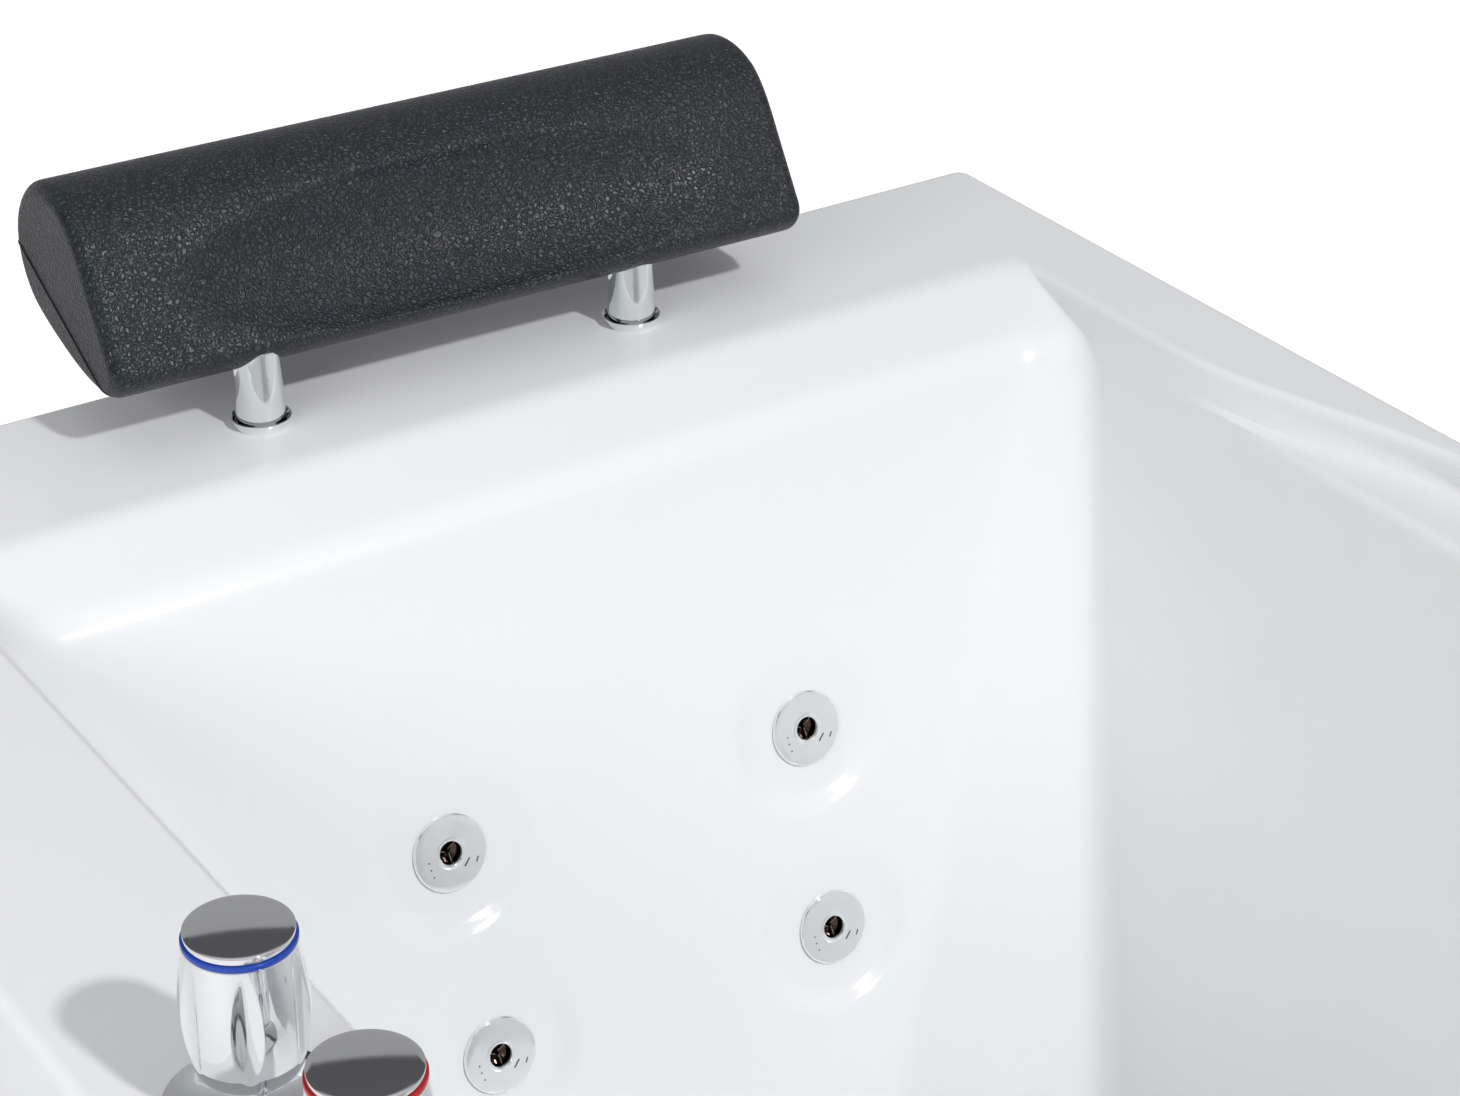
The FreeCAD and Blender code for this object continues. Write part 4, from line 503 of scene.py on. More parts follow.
def finish(name, light, dark, rough, cloud, grain, depth, **constants):
    """A finish whose colour and roughness drift between two values, with a fine grain in relief."""
    paint, tree, shader = new_material(name)
    place = add_node(tree, "ShaderNodeTexCoord")
    both = add_node(tree, "ShaderNodeGroup", {"node_tree": surface}, Cloud_Scale=cloud, Grain_Scale=grain)
    colour = add_node(tree, "ShaderNodeMix", {"data_type": "RGBA"}, A=light + (1,), B=dark + (1,))
    gloss = add_node(tree, "ShaderNodeMapRange", To_Min=rough[0], To_Max=rough[1])
    relief = add_node(tree, "ShaderNodeBump", Distance=depth, Strength=1.0)
    wire(tree, (place, "Object", both, "Vector"), (both, "Cloud", colour, "Factor"),
         (colour, "Result", shader, "Base Color"), (both, "Cloud", gloss, "Value"),
         (gloss, "Result", shader, "Roughness"), (both, "Grain", relief, "Height"),
         (relief, "Normal", shader, "Normal"))
    set_values(shader, constants)
    return paint


acrylic = finish("white acrylic", (0.86, 0.865, 0.875), (0.84, 0.85, 0.86), (0.17, 0.23), 5.0, 70.0,
    0.00003, IOR=1.49)
tub.data.materials.clear()
tub.data.materials.append(acrylic)
dress(tub, "tub", "tub_shell")

# ---- frame, board, feet and panels
# Galvanised square tubes welded into a cradle on six adjustable feet with black pads.  A board
# carries the flat floor, and folded white panels screwed to the uprights hide it all.
galvanised = finish("galvanised steel", (0.55, 0.56, 0.58), (0.40, 0.42, 0.44), (0.28, 0.50), 45.0, 300.0,
    0.00005, Metallic=0.9)
steel = finish("bright steel", (0.60, 0.60, 0.61), (0.48, 0.48, 0.50), (0.22, 0.34), 20.0, 500.0, 0.00002,
    Metallic=1.0)
rubber = finish("black foot rubber", (0.030, 0.030, 0.032), (0.018, 0.018, 0.020), (0.55, 0.75), 30.0,
    700.0, 0.00010)
plywood = finish("sealed board", (0.50, 0.36, 0.22), (0.34, 0.23, 0.13), (0.45, 0.65), 12.0, 160.0,
    0.00015)
panel_white = finish("panel acrylic", (0.85, 0.855, 0.865), (0.83, 0.84, 0.85), (0.12, 0.20), 4.0, 60.0,
    0.00003, IOR=1.49)


def smooth_copies(paint, slot, sharp, *names):
    """Stand for CAD nodes: their own shapes, merged so that round faces shade round."""
    for name in names:
        data = nodes[name].data.copy()
        mesh = bmesh.new()
        mesh.from_mesh(data)
        bmesh.ops.remove_doubles(mesh, verts=mesh.verts, dist=2e-6)
        bmesh.ops.dissolve_degenerate(mesh, edges=mesh.edges, dist=1e-6)
        mesh.to_mesh(data)
        mesh.free()
        data.materials.clear()
        data.materials.append(paint)
        piece = add_object(name + "_finished", data)
        data.polygons.foreach_set("material_index", [0] * len(data.polygons))
        if data.has_custom_normals:
            data.normals_split_custom_set([(0.0, 0.0, 0.0)] * len(data.loops))
        shade_smooth(data, sharp)
        weigh_normals(piece)
        dress(piece, nodes[name]["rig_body"], name)


smooth_copies(galvanised, "galvanised", 32.0, "frame_rails", "cross_members", "uprights")
smooth_copies(rubber, "foot_black", 32.0, "levelling_feet")
smooth_copies(steel, "steel", 32.0, "foot_locknuts")
smooth_copies(plywood, "board", 32.0, "base_board")
smooth_copies(panel_white, "acrylic_white", 32.0, "front_panel", "head_panel", "foot_panel")

# Geometry Nodes that repeat one small mesh at every point, Z along the point's axis and Y along its up.
repeat = node_group("repeat on points", "GeometryNodeTree",
                    (("Geometry", "Geometry"), ("Unit", "Object"), ("Paint", "Material")),
                    (("Geometry", "Geometry"),))
given, result, unit_in, put, real, coat = (add_node(repeat, kind) for kind in (
    "NodeGroupInput", "NodeGroupOutput", "GeometryNodeObjectInfo", "GeometryNodeInstanceOnPoints",
    "GeometryNodeRealizeInstances", "GeometryNodeSetMaterial"))
axis_in, up_in = (add_node(repeat, "GeometryNodeInputNamedAttribute", {"data_type": "FLOAT_VECTOR"},
                           Name=name) for name in ("axis", "up"))
stand, aim = (add_node(repeat, "FunctionNodeAlignRotationToVector", way)
              for way in ({"axis": "Z"}, {"axis": "Y", "pivot_axis": "Z"}))
wire(repeat, (given, "Unit", unit_in, "Object"), (given, "Geometry", put, "Points"),
     (unit_in, "Geometry", put, "Instance"),
     (axis_in, "Attribute", stand, "Vector"), (stand, "Rotation", aim, "Rotation"),
     (up_in, "Attribute", aim, "Vector"), (aim, "Rotation", put, "Rotation"),
     (put, "Instances", real, "Geometry"), (real, "Geometry", coat, "Geometry"),
     (given, "Paint", coat, "Material"), (coat, "Geometry", result, "Geometry"))


def set_inputs(modifier, **values):
    """Sets a Geometry Nodes modifier's inputs by their sockets' identifiers."""
    for item in modifier.node_group.interface.items_tree:
        if item.in_out == "INPUT" and item.name in values:
            modifier[item.identifier] = values[item.name]


def repeated(name, unit, spots, paint, sharp=35.0):
    """One mesh that holds the unit at each (point, axis, up)."""
    piece = piece_from(name, [point for point, _, _ in spots], [])
    for label, number in (("axis", 1), ("up", 2)):
        field = piece.data.attributes.new(label, "FLOAT_VECTOR", "POINT")
        for i, spot in enumerate(spots):
            field.data[i].vector = spot[number]
    modifier = piece.modifiers.new("repeat", "NODES")
    modifier.node_group = repeat
    set_inputs(modifier, Unit=unit, Paint=paint)
    settle(piece, sharp)
    bpy.data.objects.remove(unit, do_unlink=True)
    return piece


def circle(radius, z, count, place):
    """Points at even steps round the place's own Z axis."""
    turns = [2 * math.pi * i / count for i in range(count)]
    return [place @ Vector((radius * math.cos(turn), radius * math.sin(turn), z)) for turn in turns]


def closed_piece(name, points, faces, paint=None):
    """A solid piece, with doubled points merged and every face turned outwards."""
    piece = piece_from(name, points, faces)
    mesh = bmesh.new()
    mesh.from_mesh(piece.data)
    bmesh.ops.remove_doubles(mesh, verts=mesh.verts, dist=1e-6)
    bmesh.ops.recalc_face_normals(mesh, faces=mesh.faces)
    mesh.to_mesh(piece.data)
    mesh.free()
    if paint:
        piece.data.materials.append(paint)
    return piece


def lathe(name, profile, sides, place=Matrix(), paint=None):
    """A turned or many-sided piece about the place's Z, from (radius, height) points."""
    points, faces, loops = [], [], []
    for radius, z in profile:
        count = 1 if radius < 1e-6 else sides
        loops.append([len(points) + i % count for i in range(sides)])
        points += circle(radius, z, count, place)
    for upper, lower in zip(loops, loops[1:]):
        for i in range(sides):
            j = (i + 1) % sides
            corners = list(dict.fromkeys((upper[i], upper[j], lower[j], lower[i])))
            if len(corners) > 2:
                faces.append(corners)
    return closed_piece(name, points, faces, paint)


def closed_ring(name, outer, bore, height, ease, sides):
    """A nut or washer from z = 0 up, with eased outer edges."""
    ring = [(bore, 0), (outer - ease, 0), (outer, ease), (outer, height - ease), (outer - ease, height),
            (bore, height), (bore, 0)]
    return lathe(name, ring, sides)


def mm(*pairs):
    """Points of a profile given in millimetres."""
    return [(a / 1000, b / 1000) for a, b in pairs]


SCREW = mm((0, 2.1), (1.2, 2.1), (1.4, 0.6), (1.6, 0.6), (1.8, 2.4), (3.2, 2), (4.3, 1.3), (4.9, 0.5),
           (5, 0), (2, 0), (2, -21.4), (1.4, -22), (0, -22))
screw = lathe("screw", SCREW, 24)
FRONT_FACE, HEAD_FACE, FOOT_FACE = -0.4435, -0.8745, 0.9125
SCREW_SPOTS = [((x, FRONT_FACE, 0.120), (0, -1, 0), (0, 0, 1)) for x in (-0.849, 0.019, 0.887)]
SCREW_SPOTS += [((x, y, 0.078), (way, 0, 0), (0, 0, 1))
                for x, way in ((HEAD_FACE, -1), (FOOT_FACE, 1)) for y in (-0.170, 0.230)]
FOOT_SPOTS = [((x, y, 0.030), (0, 0, 1), (1, 0, 0)) for x in (-0.771, 0.019, 0.809) for y in (-0.170, 0.230)]
dress(repeated("screws", screw, SCREW_SPOTS, steel), "tub", "panel_screws")
locknut = closed_ring("nut", 0.011, 0.00605, 0.008, 0.0006, 6)
dress(repeated("locknuts", locknut, FOOT_SPOTS, steel, 25.0), "tub", "foot_locknuts")

# ---- headrest cushion
# Moulded polyurethane foam with its own black, leather-grained skin, from a two-part mould whose
# joint shows as a fine line along the back, across both ends and under the front edge.  The front
# is scooped for the neck.  Two rods foamed into it hold it over the rim.
CUSHION_HALF, CUSHION_MIDDLE_Y, CUSHION_TURN = 0.2245, 0.0285, math.radians(-1.4)
CUSHION_CORE = Vector((0.028, 0.086))        # the section shrinks towards this point at the ends
END_ROUND, END_SHRINK = 0.008, 0.008 / 0.052
SCOOP_HALF, SCOOP_DEEP = 0.172, 0.0115
CUSHION_SECTION = [Vector((x, z)) / 1000 for x, z in (
    (100.8, 52), (96, 60), (78.5, 87), (64, 109.5), (54.5, 121.5), (43.5, 131), (29.6, 136.6), (15, 138.4),
    (0, 136.2), (-15, 129), (-28, 117), (-36.5, 102), (-38, 86), (-32, 69.5), (-20, 57), (-2, 49),
    (19, 42.6), (40, 37.6), (60, 34.8), (80, 35.3), (90.5, 38.7), (97.5, 44.6))]


def through(a, b, c, d, t):
    """A point between b and c on the smooth curve that runs through four points."""
    return 0.5 * ((2 * b) + (c - a) * t + (2 * a - 5 * b + 4 * c - d) * t * t
                  + (3 * b - a - 3 * c + d) * t ** 3)


def round_curve(corners, count):
    """Points at even steps on a smooth closed curve through the given corners."""
    size = len(corners)
    fine = [through(*(corners[(i + j - 1) % size] for j in range(4)), k / 12)
            for i in range(size) for k in range(12)]
    lengths = [0.0]
    for p, q in zip(fine, fine[1:] + fine[:1]):
        lengths.append(lengths[-1] + (q - p).length)
    out, j = [], 0
    for i in range(count):
        want = lengths[-1] * i / count
        while lengths[j + 1] < want:
            j += 1
        t = (want - lengths[j]) / (lengths[j + 1] - lengths[j])
        out.append(fine[j].lerp(fine[(j + 1) % len(fine)], t))
    return out


def scoop_depth(y, along):
    """Hollow for the neck: an oval across the front face, deepest in its middle."""
    u, v = y / SCOOP_HALF, (along - 0.50) / 0.60
    return SCOOP_DEEP * max(0.0, 1.0 - u * u - v * v) ** 0.9


def end_rounding(degrees):
    """Place and size of the section where an end of the cushion turns in."""
    turn = math.radians(degrees)
    return CUSHION_HALF - END_ROUND * (1 - math.cos(turn)), 1 - END_SHRINK * (1 - math.sin(turn))


def close_fan(points, faces, loop, centre):
    points.append(centre)
    faces += [(loop[i], loop[(i + 1) % len(loop)], len(points) - 1) for i in range(len(loop))]


def over_rim(p, y):
    """A point of the section, at y from the cushion's middle, in the tub's frame."""
    return Vector((HEAD_EDGE + p.x, CUSHION_MIDDLE_Y + y, RIM + p.y))


def cushion_mesh():
    """Sections set along the cushion, scooped in front, and closed by a fan at each end."""
    outline = round_curve(CUSHION_SECTION, 110)
    low, high = Vector((0.1008, 0.052)), Vector((0.0555, 0.120))
    face, face_way = high - low, Vector((0.068, 0.0453)).normalized()
    half = [(CUSHION_HALF, 0.72), (CUSHION_HALF, 0.84)] + [end_rounding(a) for a in range(0, 91, 10)]
    half += [((CUSHION_HALF - END_ROUND) * (1 - i / 30), 1.0) for i in range(1, 31)]
    points, faces, loops = [], [], []            # each loop is one section, at y from the middle
    for y, scale in half + [(-y, s) for y, s in reversed(half[:-1])]:
        row = []
        for p in outline:
            q = CUSHION_CORE + (p - CUSHION_CORE) * scale
            t = (p - low).dot(face) / face.length_squared
            if 0 <= t <= 1.05 and (p - low).dot(face_way) > -0.012:
                q -= face_way * scoop_depth(y, t)
            row.append(over_rim(q, y))
        loops.append(add_row(points, row))
    for upper, lower in zip(loops, loops[1:]):
        stitch(faces, upper, lower)
    for loop in (loops[0], loops[-1]):
        centre = sum((points[i] for i in loop), Vector()) / len(loop)
        before = loop
        for t in (0.35, 0.7):
            inner = add_row(points, [points[i].lerp(centre, t) for i in loop])
            stitch(faces, before, inner)
            before = inner
        close_fan(points, faces, before, centre)
    return points, faces


cushion = closed_piece("cushion", *cushion_mesh())
pivot = Vector((HEAD_EDGE + CUSHION_CORE.x, CUSHION_MIDDLE_Y, 0))
aslant = Matrix.Translation(pivot) @ Matrix.Rotation(CUSHION_TURN, 4, "Z") @ Matrix.Translation(-pivot)
cushion.data.transform(aslant)

# Geometry Nodes that draw a round bead along a path.
bead = node_group("bead along a path", "GeometryNodeTree",
                  (("Geometry", "Geometry"), ("Radius", "Float"), ("Sides", "Int"), ("Paint", "Material")),
                  (("Geometry", "Geometry"),))
given, result, path, ring, sweep, real, coat = (add_node(bead, kind) for kind in (
    "NodeGroupInput", "NodeGroupOutput", "GeometryNodeMeshToCurve", "GeometryNodeCurvePrimitiveCircle",
    "GeometryNodeCurveToMesh", "GeometryNodeRealizeInstances", "GeometryNodeSetMaterial"))
wire(bead, (given, "Geometry", path, "Mesh"), (given, "Radius", ring, "Radius"),
     (given, "Sides", ring, "Resolution"), (path, "Curve", sweep, "Curve"),
     (ring, "Curve", sweep, "Profile Curve"), (sweep, "Mesh", real, "Geometry"),
     (real, "Geometry", coat, "Geometry"), (given, "Paint", coat, "Material"),
     (coat, "Geometry", result, "Geometry"))

# The mould's joint: from the back of the section round each end to its front.
back, front = Vector((-0.0380, 0.0880)) - CUSHION_CORE, Vector((0.0800, 0.0353)) - CUSHION_CORE
corner = [end_rounding(a) for a in range(0, 91, 10)]
end_size = corner[0][1]
ends = [(y, CUSHION_CORE + back * size) for y, size in reversed(corner)]
ends += [(CUSHION_HALF + 0.0001, CUSHION_CORE + back.lerp(front, i / 24) * end_size) for i in range(1, 24)]
ends += [(y, CUSHION_CORE + front * size) for y, size in corner]
loop = ends + [(-y, p) for y, p in reversed(ends)]
seam = piece_from("cushion_seam", [over_rim(p, y) for y, p in loop], [],
                  [(i, (i + 1) % len(loop)) for i in range(len(loop))])
seam.data.transform(aslant)
seam_black = finish("mould seam", (0.006, 0.006, 0.007), (0.003, 0.003, 0.004), (0.45, 0.60), 60.0, 900.0,
    0.00005)
modifier = seam.modifiers.new("bead", "NODES")
modifier.node_group = bead
set_inputs(modifier, Radius=0.0006, Sides=8, Paint=seam_black)
settle(seam, 60)
dress(seam, "headrest", "headrest_cushion")

soften = cushion.modifiers.new("soften", "SUBSURF")
soften.levels = soften.render_levels = 1
settle(cushion, 60)

# The skin's grain: small pebbles with warped edges, with painted shade darkening the creases between them,
# over slow clouds.
leather, tree, shader = new_material("grained foam skin")
place = add_node(tree, "ShaderNodeTexCoord")
warp = add_node(tree, "ShaderNodeTexNoise", Scale=240.0, Detail=2.0)
push = add_node(tree, "ShaderNodeVectorMath", {"operation": "MULTIPLY_ADD"})
push.inputs[1].default_value = (0.0046, 0.0046, 0.0046)
pebble = add_node(tree, "ShaderNodeTexVoronoi", {"feature": "DISTANCE_TO_EDGE"}, Scale=300.0)
crown = add_node(tree, "ShaderNodeMapRange", {"interpolation_type": "SMOOTHSTEP"}, From_Max=0.32)
clouds = add_node(tree, "ShaderNodeGroup", {"node_tree": surface}, Cloud_Scale=22.0, Grain_Scale=900.0)
# Painted shade: the colour runs from near black in the grain's creases to a lighter blue-black on the
# pebbles' tops.
crease_shade = add_node(tree, "ShaderNodeMix", {"data_type": "RGBA"}, A=(0.006, 0.007, 0.010, 1),
                B=(0.022, 0.026, 0.037, 1))
gloss = add_node(tree, "ShaderNodeMapRange", To_Min=0.32, To_Max=0.44)
height = add_node(tree, "ShaderNodeMath", {"operation": "MULTIPLY_ADD"})
height.inputs[1].default_value = 0.25
relief = add_node(tree, "ShaderNodeBump", Strength=0.9, Distance=0.00065)
wire(tree, (place, "Object", warp, "Vector"), (warp, "Color", push, 0), (place, "Object", push, 2),
     (push, "Vector", pebble, "Vector"), (pebble, "Distance", crown, "Value"),
     (crown, "Result", crease_shade, "Factor"), (crease_shade, "Result", shader, "Base Color"),
     (place, "Object", clouds, "Vector"), (clouds, "Cloud", gloss, "Value"),
     (gloss, "Result", shader, "Roughness"), (clouds, "Grain", height, 0), (crown, "Result", height, 2),
     (height, "Value", relief, "Height"), (relief, "Normal", shader, "Normal"))
cushion.data.materials.clear()
cushion.data.materials.append(leather)
dress(cushion, "headrest", "headrest_cushion")

# ---- headrest posts
# Two chromed rods slide in tapered chrome sleeves screwed through the rim; a dished ring covers
# the foot of each sleeve.
chrome = finish("polished chrome", (0.88, 0.89, 0.90), (0.82, 0.83, 0.85), (0.035, 0.075), 30.0, 250.0,
    0.000004, Metallic=1.0)


def turned_piece(name, profile, place, paint, segments=96, sharp=35.0):
    """A smooth piece from the lathe, in one finish."""
    return settle(lathe(name, profile, segments, place, paint), sharp)


def rounded(profile, radius, steps=4, closed=True):
    """A lathe profile with every corner eased."""
    out, size = [], len(profile)
    for i, p in enumerate(profile):
        here = Vector(p)
        if not closed and i in (0, size - 1):
            out.append(tuple(here))
            continue
        before, after = Vector(profile[i - 1]), Vector(profile[(i + 1) % size])
        a, b = before - here, after - here
        half = a.angle(b) / 2
        if half > math.radians(80) or radius <= 0:
            out.append(tuple(here))
            continue
        room = min(0.4 * min(a.length, b.length) * math.tan(half), radius)
        out += [tuple(q) for q in corner_arc(before, here, after, room, steps)]
    return out + ([out[0]] if closed else [])


SLEEVE = mm((6.05, -34), (13.2, -34), (13.2, 0), (14.7, 0), (13, 47.5), (12.7, 48.5), (6.05, 48.5))
COLLAR = mm((14.75, 0), (16, 0), (17.6, 5.5), (16.7, 5.5), (15.05, 1.4), (14.75, 1.4))
ROD = mm((0, -70.8), (6, -70.8), (6, 57.5), (0, 57.5))
for hand, y in zip(("left", "right"), POST_YS):
    foot = Matrix.Translation((POST_X, y, RIM))
    sleeve = turned_piece("sleeve_" + hand, rounded(SLEEVE, 0.0008), foot, chrome)
    collar = turned_piece("sleeve_ring_" + hand, rounded(COLLAR, 0.0003), foot, chrome)
    rod = turned_piece("rod_" + hand, rounded(ROD, 0.0006, closed=False), foot, chrome, 64)
    dress(sleeve, "tub", "headrest_sleeves")
    dress(collar, "tub", "sleeve_rings")
    dress(rod, "headrest", "headrest_rods")

# ---- taps
# Two quarter-turn taps in chromed brass.  Each fluted knob is pressed on its spindle and topped by
# a coloured index ring and a polished cap; a flange sweeps up from the deck to the neck, and the
# valve is held under the rim by a backnut.
brass = finish("brass", (0.62, 0.45, 0.20), (0.48, 0.33, 0.14), (0.25, 0.40), 25.0, 400.0, 0.00003,
    Metallic=1.0)
blue = finish("blue index enamel", (0.012, 0.060, 0.42), (0.010, 0.050, 0.36), (0.18, 0.28), 60.0, 500.0,
    0.00001)
red = finish("red index enamel", (0.50, 0.018, 0.022), (0.42, 0.015, 0.018), (0.18, 0.28), 60.0, 500.0,
    0.00001)
FLUTES, FLUTE_R, FLUTE_AXIS, FLUTE_TURN, FLUTE_EDGE = 6, 0.011, 0.0351, math.radians(-23.5), 0.00045
KNOB_LOW, KNOB_TOP, KNOB_BORE, KNOB_BORE_TOP = 0.0210, 0.0836, 0.0180, 0.0636
KNOB_SIDE = mm((19.5, 21), (21, 21.3), (22.2, 22.6), (23.4, 26.2), (24.9, 32.5), (26.2, 40),
               (26.9, 47.5), (27, 52), (26.7, 59), (26, 66.5), (25.1, 74.5), (24.2, 80.5), (23.8, 83.1),
               (23.5, 83.6))


def knob_side(steps=7):
    """The knob's barrel outline, smooth, with even steps between its corners."""
    corners = [Vector(p) for p in KNOB_SIDE[:1] + KNOB_SIDE + KNOB_SIDE[-1:]]
    fours = zip(corners, corners[1:], corners[2:], corners[3:])
    fine = [through(*four, k / steps) for four in fours for k in range(steps)]
    return fine + [corners[-1]]


def flute_reach(turn, radius):
    """Radius of the barrel at one place round it, where a hollow may cut into it."""
    pitch = 2 * math.pi / FLUTES
    off = (turn - FLUTE_TURN + pitch / 2) % pitch - pitch / 2
    across = FLUTE_AXIS * math.sin(off)
    if abs(across) >= FLUTE_R * 0.999:
        return radius
    flute = FLUTE_AXIS * math.cos(off) - math.sqrt(FLUTE_R ** 2 - across ** 2)
    gap = max(FLUTE_EDGE - abs(flute - radius), 0.0) / FLUTE_EDGE
    return min(flute, radius) - gap * gap * FLUTE_EDGE / 4


def fluted_knob(name, place, around=300):
    """A barrel with six hollows scooped down its side, their edges just eased."""
    points, faces = [], []
    for radius, z in ((KNOB_BORE, KNOB_BORE_TOP), (KNOB_BORE, 0.0215), (0.0185, KNOB_LOW)):
        points += circle(radius, z, around, place)
    for p in knob_side():
        for i in range(around):
            turn = 2 * math.pi * i / around
            radius = flute_reach(turn, p.x)
            points.append(place @ Vector((radius * math.cos(turn), radius * math.sin(turn), p.y)))
    loops = [list(range(start, start + around)) for start in range(0, len(points), around)]
    for upper, lower in zip(loops, loops[1:]):
        stitch(faces, upper, lower)
    for loop, z in ((loops[0], KNOB_BORE_TOP), (loops[-1], KNOB_TOP)):
        close_fan(points, faces, loop, place @ Vector((0, 0, z)))
    return settle(closed_piece(name, points, faces, chrome), 50)


def sweep_profile(via, count=14):
    """The flange's top, sweeping in from its edge to the neck through a middle point."""
    edge, neck = Vector((0.0372, 0.0034)), Vector((0.0165, 0.0180))
    middle = Vector(via) * 2 - (edge + neck) / 2
    return [tuple(edge * (1 - t) ** 2 + middle * 2 * t * (1 - t) + neck * t * t)
            for t in (i / count for i in range(count + 1))]


FLANGE = mm((13.25, 0), (37.8, 0), (38, 0.4), (38, 2.6), (37.8, 3.2))
FLANGE += sweep_profile((0.0235, 0.0095))
FLANGE += mm((16.5, 28.5), (16, 29), (13.25, 29), (13.25, 0))
CAP = mm((0, 83.8), (18, 83.8), (18, 86), (22.9, 86), (22.9, 89.2))
CAP += [(0.0226 * (1 - i / 10), 0.0900 - 0.0007 * (1 - i / 10) ** 2) for i in range(11)]
RING = mm((18.05, 83.6), (23.9, 83.6), (23.9, 86), (18.05, 86))
for hand, x, enamel, tint in (("cold", 0.642, blue, "cold_blue"), ("hot", 0.7495, red, "hot_red")):
    foot = Matrix.Translation((HEAD_EDGE + x, TAP_LINE, RIM))
    tap = hand + "_tap"
    dress(fluted_knob(tap + "_knob", foot), tap, hand + "_knob")
    dress(turned_piece(tap + "_cap", rounded(CAP, 0.0008, closed=False), foot, chrome, 128),
          tap, hand + "_cap")
    dress(turned_piece(tap + "_ring", rounded(RING, 0.0004), foot, enamel, 128),
          tap, hand + "_index_ring")
    dress(turned_piece(tap + "_flange", FLANGE, foot, chrome, 128),
          "tub", hand + "_flange")
    smooth_copies(brass, "brass_parts", 32.0, hand + "_spindle", hand + "_valve")

# ---- fill spout
# Flat, bent chromed brass spout: an upright, a broad blade over the basin and a slot for the water,
# on a round foot.  A pipe under the deck joins it to both valves.
smooth_copies(chrome, "polished_chrome", 30.0, "fill_spout")
smooth_copies(brass, "brass_parts", 40.0, "mixing_pipe")
deck_spots = [((x, y, RIM - SHELL - 0.008), (0, 0, 1), (1, 0, 0)) for x, y in DECK_SPOTS]
backnut = closed_ring("nut", 0.021, 0.01325, 0.008, 0.0008, 48)
dress(repeated("backnuts", backnut, deck_spots, brass), "tub", "deck_backnuts")

# ---- air control and pump button
# The air control is a low turned knob with a pointer line over a bezel; the pump's push button
# stands in a bezel of its own.
plastic = finish("grey plastic", (0.16, 0.165, 0.17), (0.12, 0.125, 0.13), (0.35, 0.50), 30.0, 800.0,
    0.00004)
smooth_copies(chrome, "polished_chrome", 28.0, "air_knob", "air_valve", "pump_button", "button_housing")

# ---- jets
# Each jet has a chromed face that turns to open or close its nozzle, with a few small marks
# stamped beside the bore.  Its edge folds back over the flange of a body let through the wall.
mark_black = finish("stamped mark", (0.06, 0.062, 0.065), (0.03, 0.032, 0.035), (0.18, 0.30), 60.0, 700.0,
    0.00003)
bore_dark = finish("dark bore", (0.16, 0.11, 0.095), (0.05, 0.035, 0.03), (0.10, 0.22), 140.0, 700.0,
    0.00003, Metallic=1.0)
jet_chrome = finish("jet chrome", (0.93, 0.955, 0.955), (0.88, 0.90, 0.905), (0.05, 0.09), 60.0, 400.0,
    0.000004, Metallic=0.72)
nozzle_metal = finish("nozzle metal", (0.42, 0.36, 0.31), (0.22, 0.18, 0.16), (0.10, 0.20), 120.0, 900.0,
    0.00002, Metallic=1.0)
FACE = mm((7.2, -20), (11, -20), (11, 1.5), (21.4, 1.5), (21.4, 0.3), (23, 0.3), (23, 1.8), (22.2, 2.6),
          (18, 2.8), (9.5, 2.75), (8.6, 3.1), (7.7, 3.1), (7, 2.6), (7, -20))


def nozzle_vanes(name, place):
    """Three thin slanted vanes between the bore's middle and its wall."""
    points, faces = [], []
    for i in range(3):
        turn = math.radians(120 * i + 20)
        along = Vector((math.cos(turn), math.sin(turn), 0))
        side = Vector((-along.y, along.x, 0))
        a = len(points)
        for away, lean, low, high in ((0.0010, 0.0, -0.0052, -0.0022), (0.0068, 0.0016, -0.0042, -0.0012)):
            for z, shift in ((low, -0.0004), (high, 0.0010)):
                for half in (-0.00025, 0.00025):
                    points.append(place @ (along * away + side * (half + lean + shift) + Vector((0, 0, z))))
        faces += [(a, a + 1, a + 3, a + 2), (a + 4, a + 6, a + 7, a + 5), (a, a + 4, a + 5, a + 1),
                  (a + 2, a + 3, a + 7, a + 6), (a, a + 2, a + 6, a + 4), (a + 1, a + 5, a + 7, a + 3)]
    return closed_piece(name, points, faces, nozzle_metal)


def mark_outline(kind, turn, away):
    """Outline of one stamped mark on the face: a dot, a short dash or a long one."""
    out = Vector((math.cos(turn), math.sin(turn)))
    middle, along = out * away, Vector((-out.y, out.x))
    if kind == "dot":
        turns = [math.pi * i / 6 for i in range(12)]
        return [middle + Vector((math.cos(a), math.sin(a))) * 0.00055 for a in turns]
    half, wide = (0.0028, 0.00045) if kind == "long" else (0.0017, 0.0004)
    return [middle + along * (half * s) + out * (wide * t) for s, t in ((-1, -1), (-1, 1), (1, 1), (1, -1))]


LINING = mm((7, 1), (6.9, 1), (6.8, -4), (3.5, -6), (3.5, -9), (6.8, -11), (6.8, -19.5), (7, -19.5),
            (7, 1))
MARKS = (("dot", 186, 0.0145), ("dot", 203, 0.0150), ("dot", 220, 0.0165), ("long", 318, 0.0120),
         ("short", 332, 0.0175))


def stamped_marks(name, place):
    """The marks as thin plates that stand just proud of the face."""
    points, faces = [], []
    for kind, degrees, away in MARKS:
        outline = mark_outline(kind, math.radians(degrees), away)
        top, low = (add_row(points, [place @ Vector((p.x, p.y, z)) for p in outline])
                    for z in (0.00286, 0.0026))
        faces += [top, low]
        stitch(faces, top, low)
    return closed_piece(name, points, faces, mark_black)


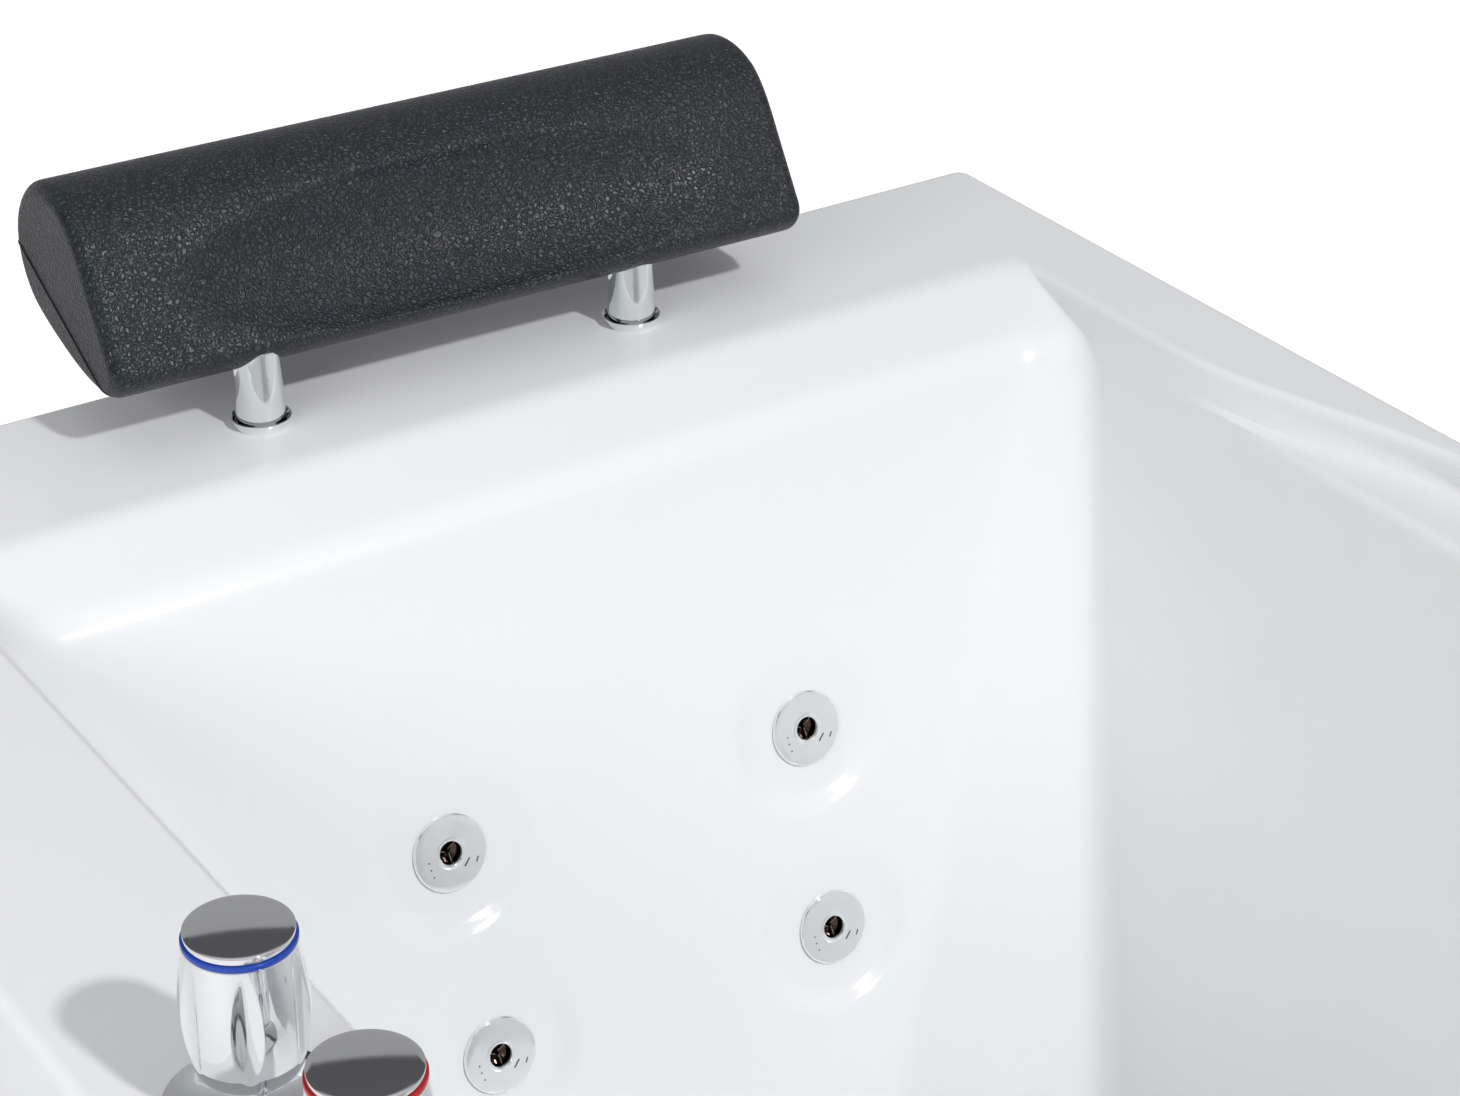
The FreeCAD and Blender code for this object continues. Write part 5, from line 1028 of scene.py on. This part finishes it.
for name, seat in JET_SEATS.items():
    face = turned_piece(name + "_disc", rounded(FACE, 0.0004, 3), seat, jet_chrome, 96, 40)
    dress(face, name, name + "_face")
    for piece in (turned_piece(name + "_disc_bore", LINING, seat, bore_dark, 64, 40),
                  nozzle_vanes(name + "_disc_vanes", seat), stamped_marks(name + "_marks", seat)):
        dress(piece, name)
pipe_white = finish("white jet plastic", (0.62, 0.63, 0.63), (0.56, 0.57, 0.57), (0.30, 0.42), 20.0, 500.0,
    0.00003)
pipe_grey = finish("grey water pipe", (0.32, 0.33, 0.34), (0.26, 0.27, 0.28), (0.35, 0.50), 15.0, 600.0,
    0.00004)
smooth_copies(pipe_white, "pipe_white", 35.0, "jet_bodies")
nut_spots = []
for seat in JET_SEATS.values():
    _, upward, inward = seat.to_3x3().transposed()
    nut_spots.append((seat @ Vector((0, 0, -0.016)), inward, upward))
jet_nut = closed_ring("nut", 0.023, 0.01665, 0.010, 0.0008, 48)
dress(repeated("jet_nuts_turned", jet_nut, nut_spots, pipe_white), "tub", "jet_nuts")

# ---- pipework and pump
# Rigid grey water pipes and white air pipes run behind the backrest and along both sides to the
# jets.  A wet pump on the frame feeds them through its volute, from the suction in the tap wall.
smooth_copies(pipe_grey, "pipe_grey", 40.0, "water_pipes", "suction_pipe")
smooth_copies(pipe_white, "pipe_white", 40.0, "air_pipes")
pump_dark = finish("pump enamel", (0.060, 0.070, 0.085), (0.042, 0.050, 0.062), (0.35, 0.50), 18.0, 250.0,
    0.00010)
smooth_copies(pump_dark, "pump_dark", 35.0, "motor_housing")
smooth_copies(steel, "steel", 35.0, "pump_rotor", "motor_bearings")
smooth_copies(plastic, "pump_plastic", 35.0, "volute", "impeller")

# ---- suction
# A chromed, domed strainer, clipped over the white plastic suction fitting that is let through the
# tap-side wall low down.
smooth_copies(pipe_white, "pipe_white", 35.0, "suction_fitting")
smooth_copies(chrome, "polished_chrome", 30.0, "suction_grille")

# ---- waste and overflow
# Chromed drain rim with a lift-up plug, worked by turning the overflow knob on the foot wall; waste
# body and overflow pipe in white plastic below.
smooth_copies(chrome, "polished_chrome", 30.0, "drain_flange", "drain_plug", "overflow_knob")
smooth_copies(pipe_white, "pipe_white", 30.0, "waste_body", "overflow_pipe")

# ---- floor and light
# Plain pale floor that reads white to the camera and keeps the object's shadow; one main light from
# the foot end, a broad fill from the tap side and a soft sky.
floor = piece_from("floor", [(-9, -9, 0), (9, -9, 0), (9, 9, 0), (-9, 9, 0)], [(0, 1, 2, 3)])
pale, tree, shader = new_material("pale floor")
set_values(shader, {"Base Color": (0.82, 0.82, 0.82, 1), "Roughness": 0.85})
path, glow, both = (add_node(tree, kind) for kind in (
    "ShaderNodeLightPath", "ShaderNodeEmission", "ShaderNodeAddShader"))
seen = add_node(tree, "ShaderNodeMath", {"operation": "MULTIPLY"})
seen.inputs[1].default_value = 0.45
wire(tree, (path, "Is Camera Ray", seen, 0), (seen, "Value", glow, "Strength"), (shader, "BSDF", both, 0),
     (glow, "Emission", both, 1), (both, "Shader", tree.nodes["Material Output"], "Surface"))
floor.data.materials.append(pale)

sun = bpy.data.lights.new("main light", "SUN")
sun.energy, sun.angle = 1.55, math.radians(3.5)
lamp = add_object("main light", sun)
lamp.rotation_euler = Vector((0.71, 0.17, 0.68)).to_track_quat("Z", "Y").to_euler()
fill = bpy.data.lights.new("fill light", "AREA")
fill.shape, fill.size, fill.size_y, fill.energy = "RECTANGLE", 2.4, 1.2, 37.0
lamp = add_object("fill light", fill)
lamp.location = (0.6, -2.5, 1.9)
lamp.visible_glossy = False
lamp.rotation_euler = (Vector(lamp.location) - Vector((-0.2, 0.2, 0.4))).to_track_quat("Z", "Y").to_euler()

sky = bpy.data.worlds.new("studio")
sky.use_nodes = True
scene.world = sky
tree = sky.node_tree
place, split, ramp, path = (add_node(tree, kind) for kind in (
    "ShaderNodeTexCoord", "ShaderNodeSeparateXYZ", "ShaderNodeValToRGB", "ShaderNodeLightPath"))
pick = add_node(tree, "ShaderNodeMix", {"data_type": "RGBA"}, B=(1, 1, 1, 1))
stops = ramp.color_ramp.elements
stops[0].position, stops[0].color = 0.0, (0.46, 0.47, 0.48, 1)
stops[1].position, stops[1].color = 1.0, (0.62, 0.62, 0.63, 1)
for where, crease_shade in ((0.30, 0.36), (0.580, 0.33), (0.588, 0.085), (0.72, 0.10), (0.80, 0.60)):
    stops.new(where).color = (crease_shade, crease_shade, crease_shade * 1.02, 1)
wire(tree, (place, "Generated", split, "Vector"), (split, "Z", ramp, "Fac"), (ramp, "Color", pick, "A"),
     (path, "Is Camera Ray", pick, "Factor"), (pick, "Result", tree.nodes["Background"], "Color"))

scene.view_settings.view_transform = "Standard"
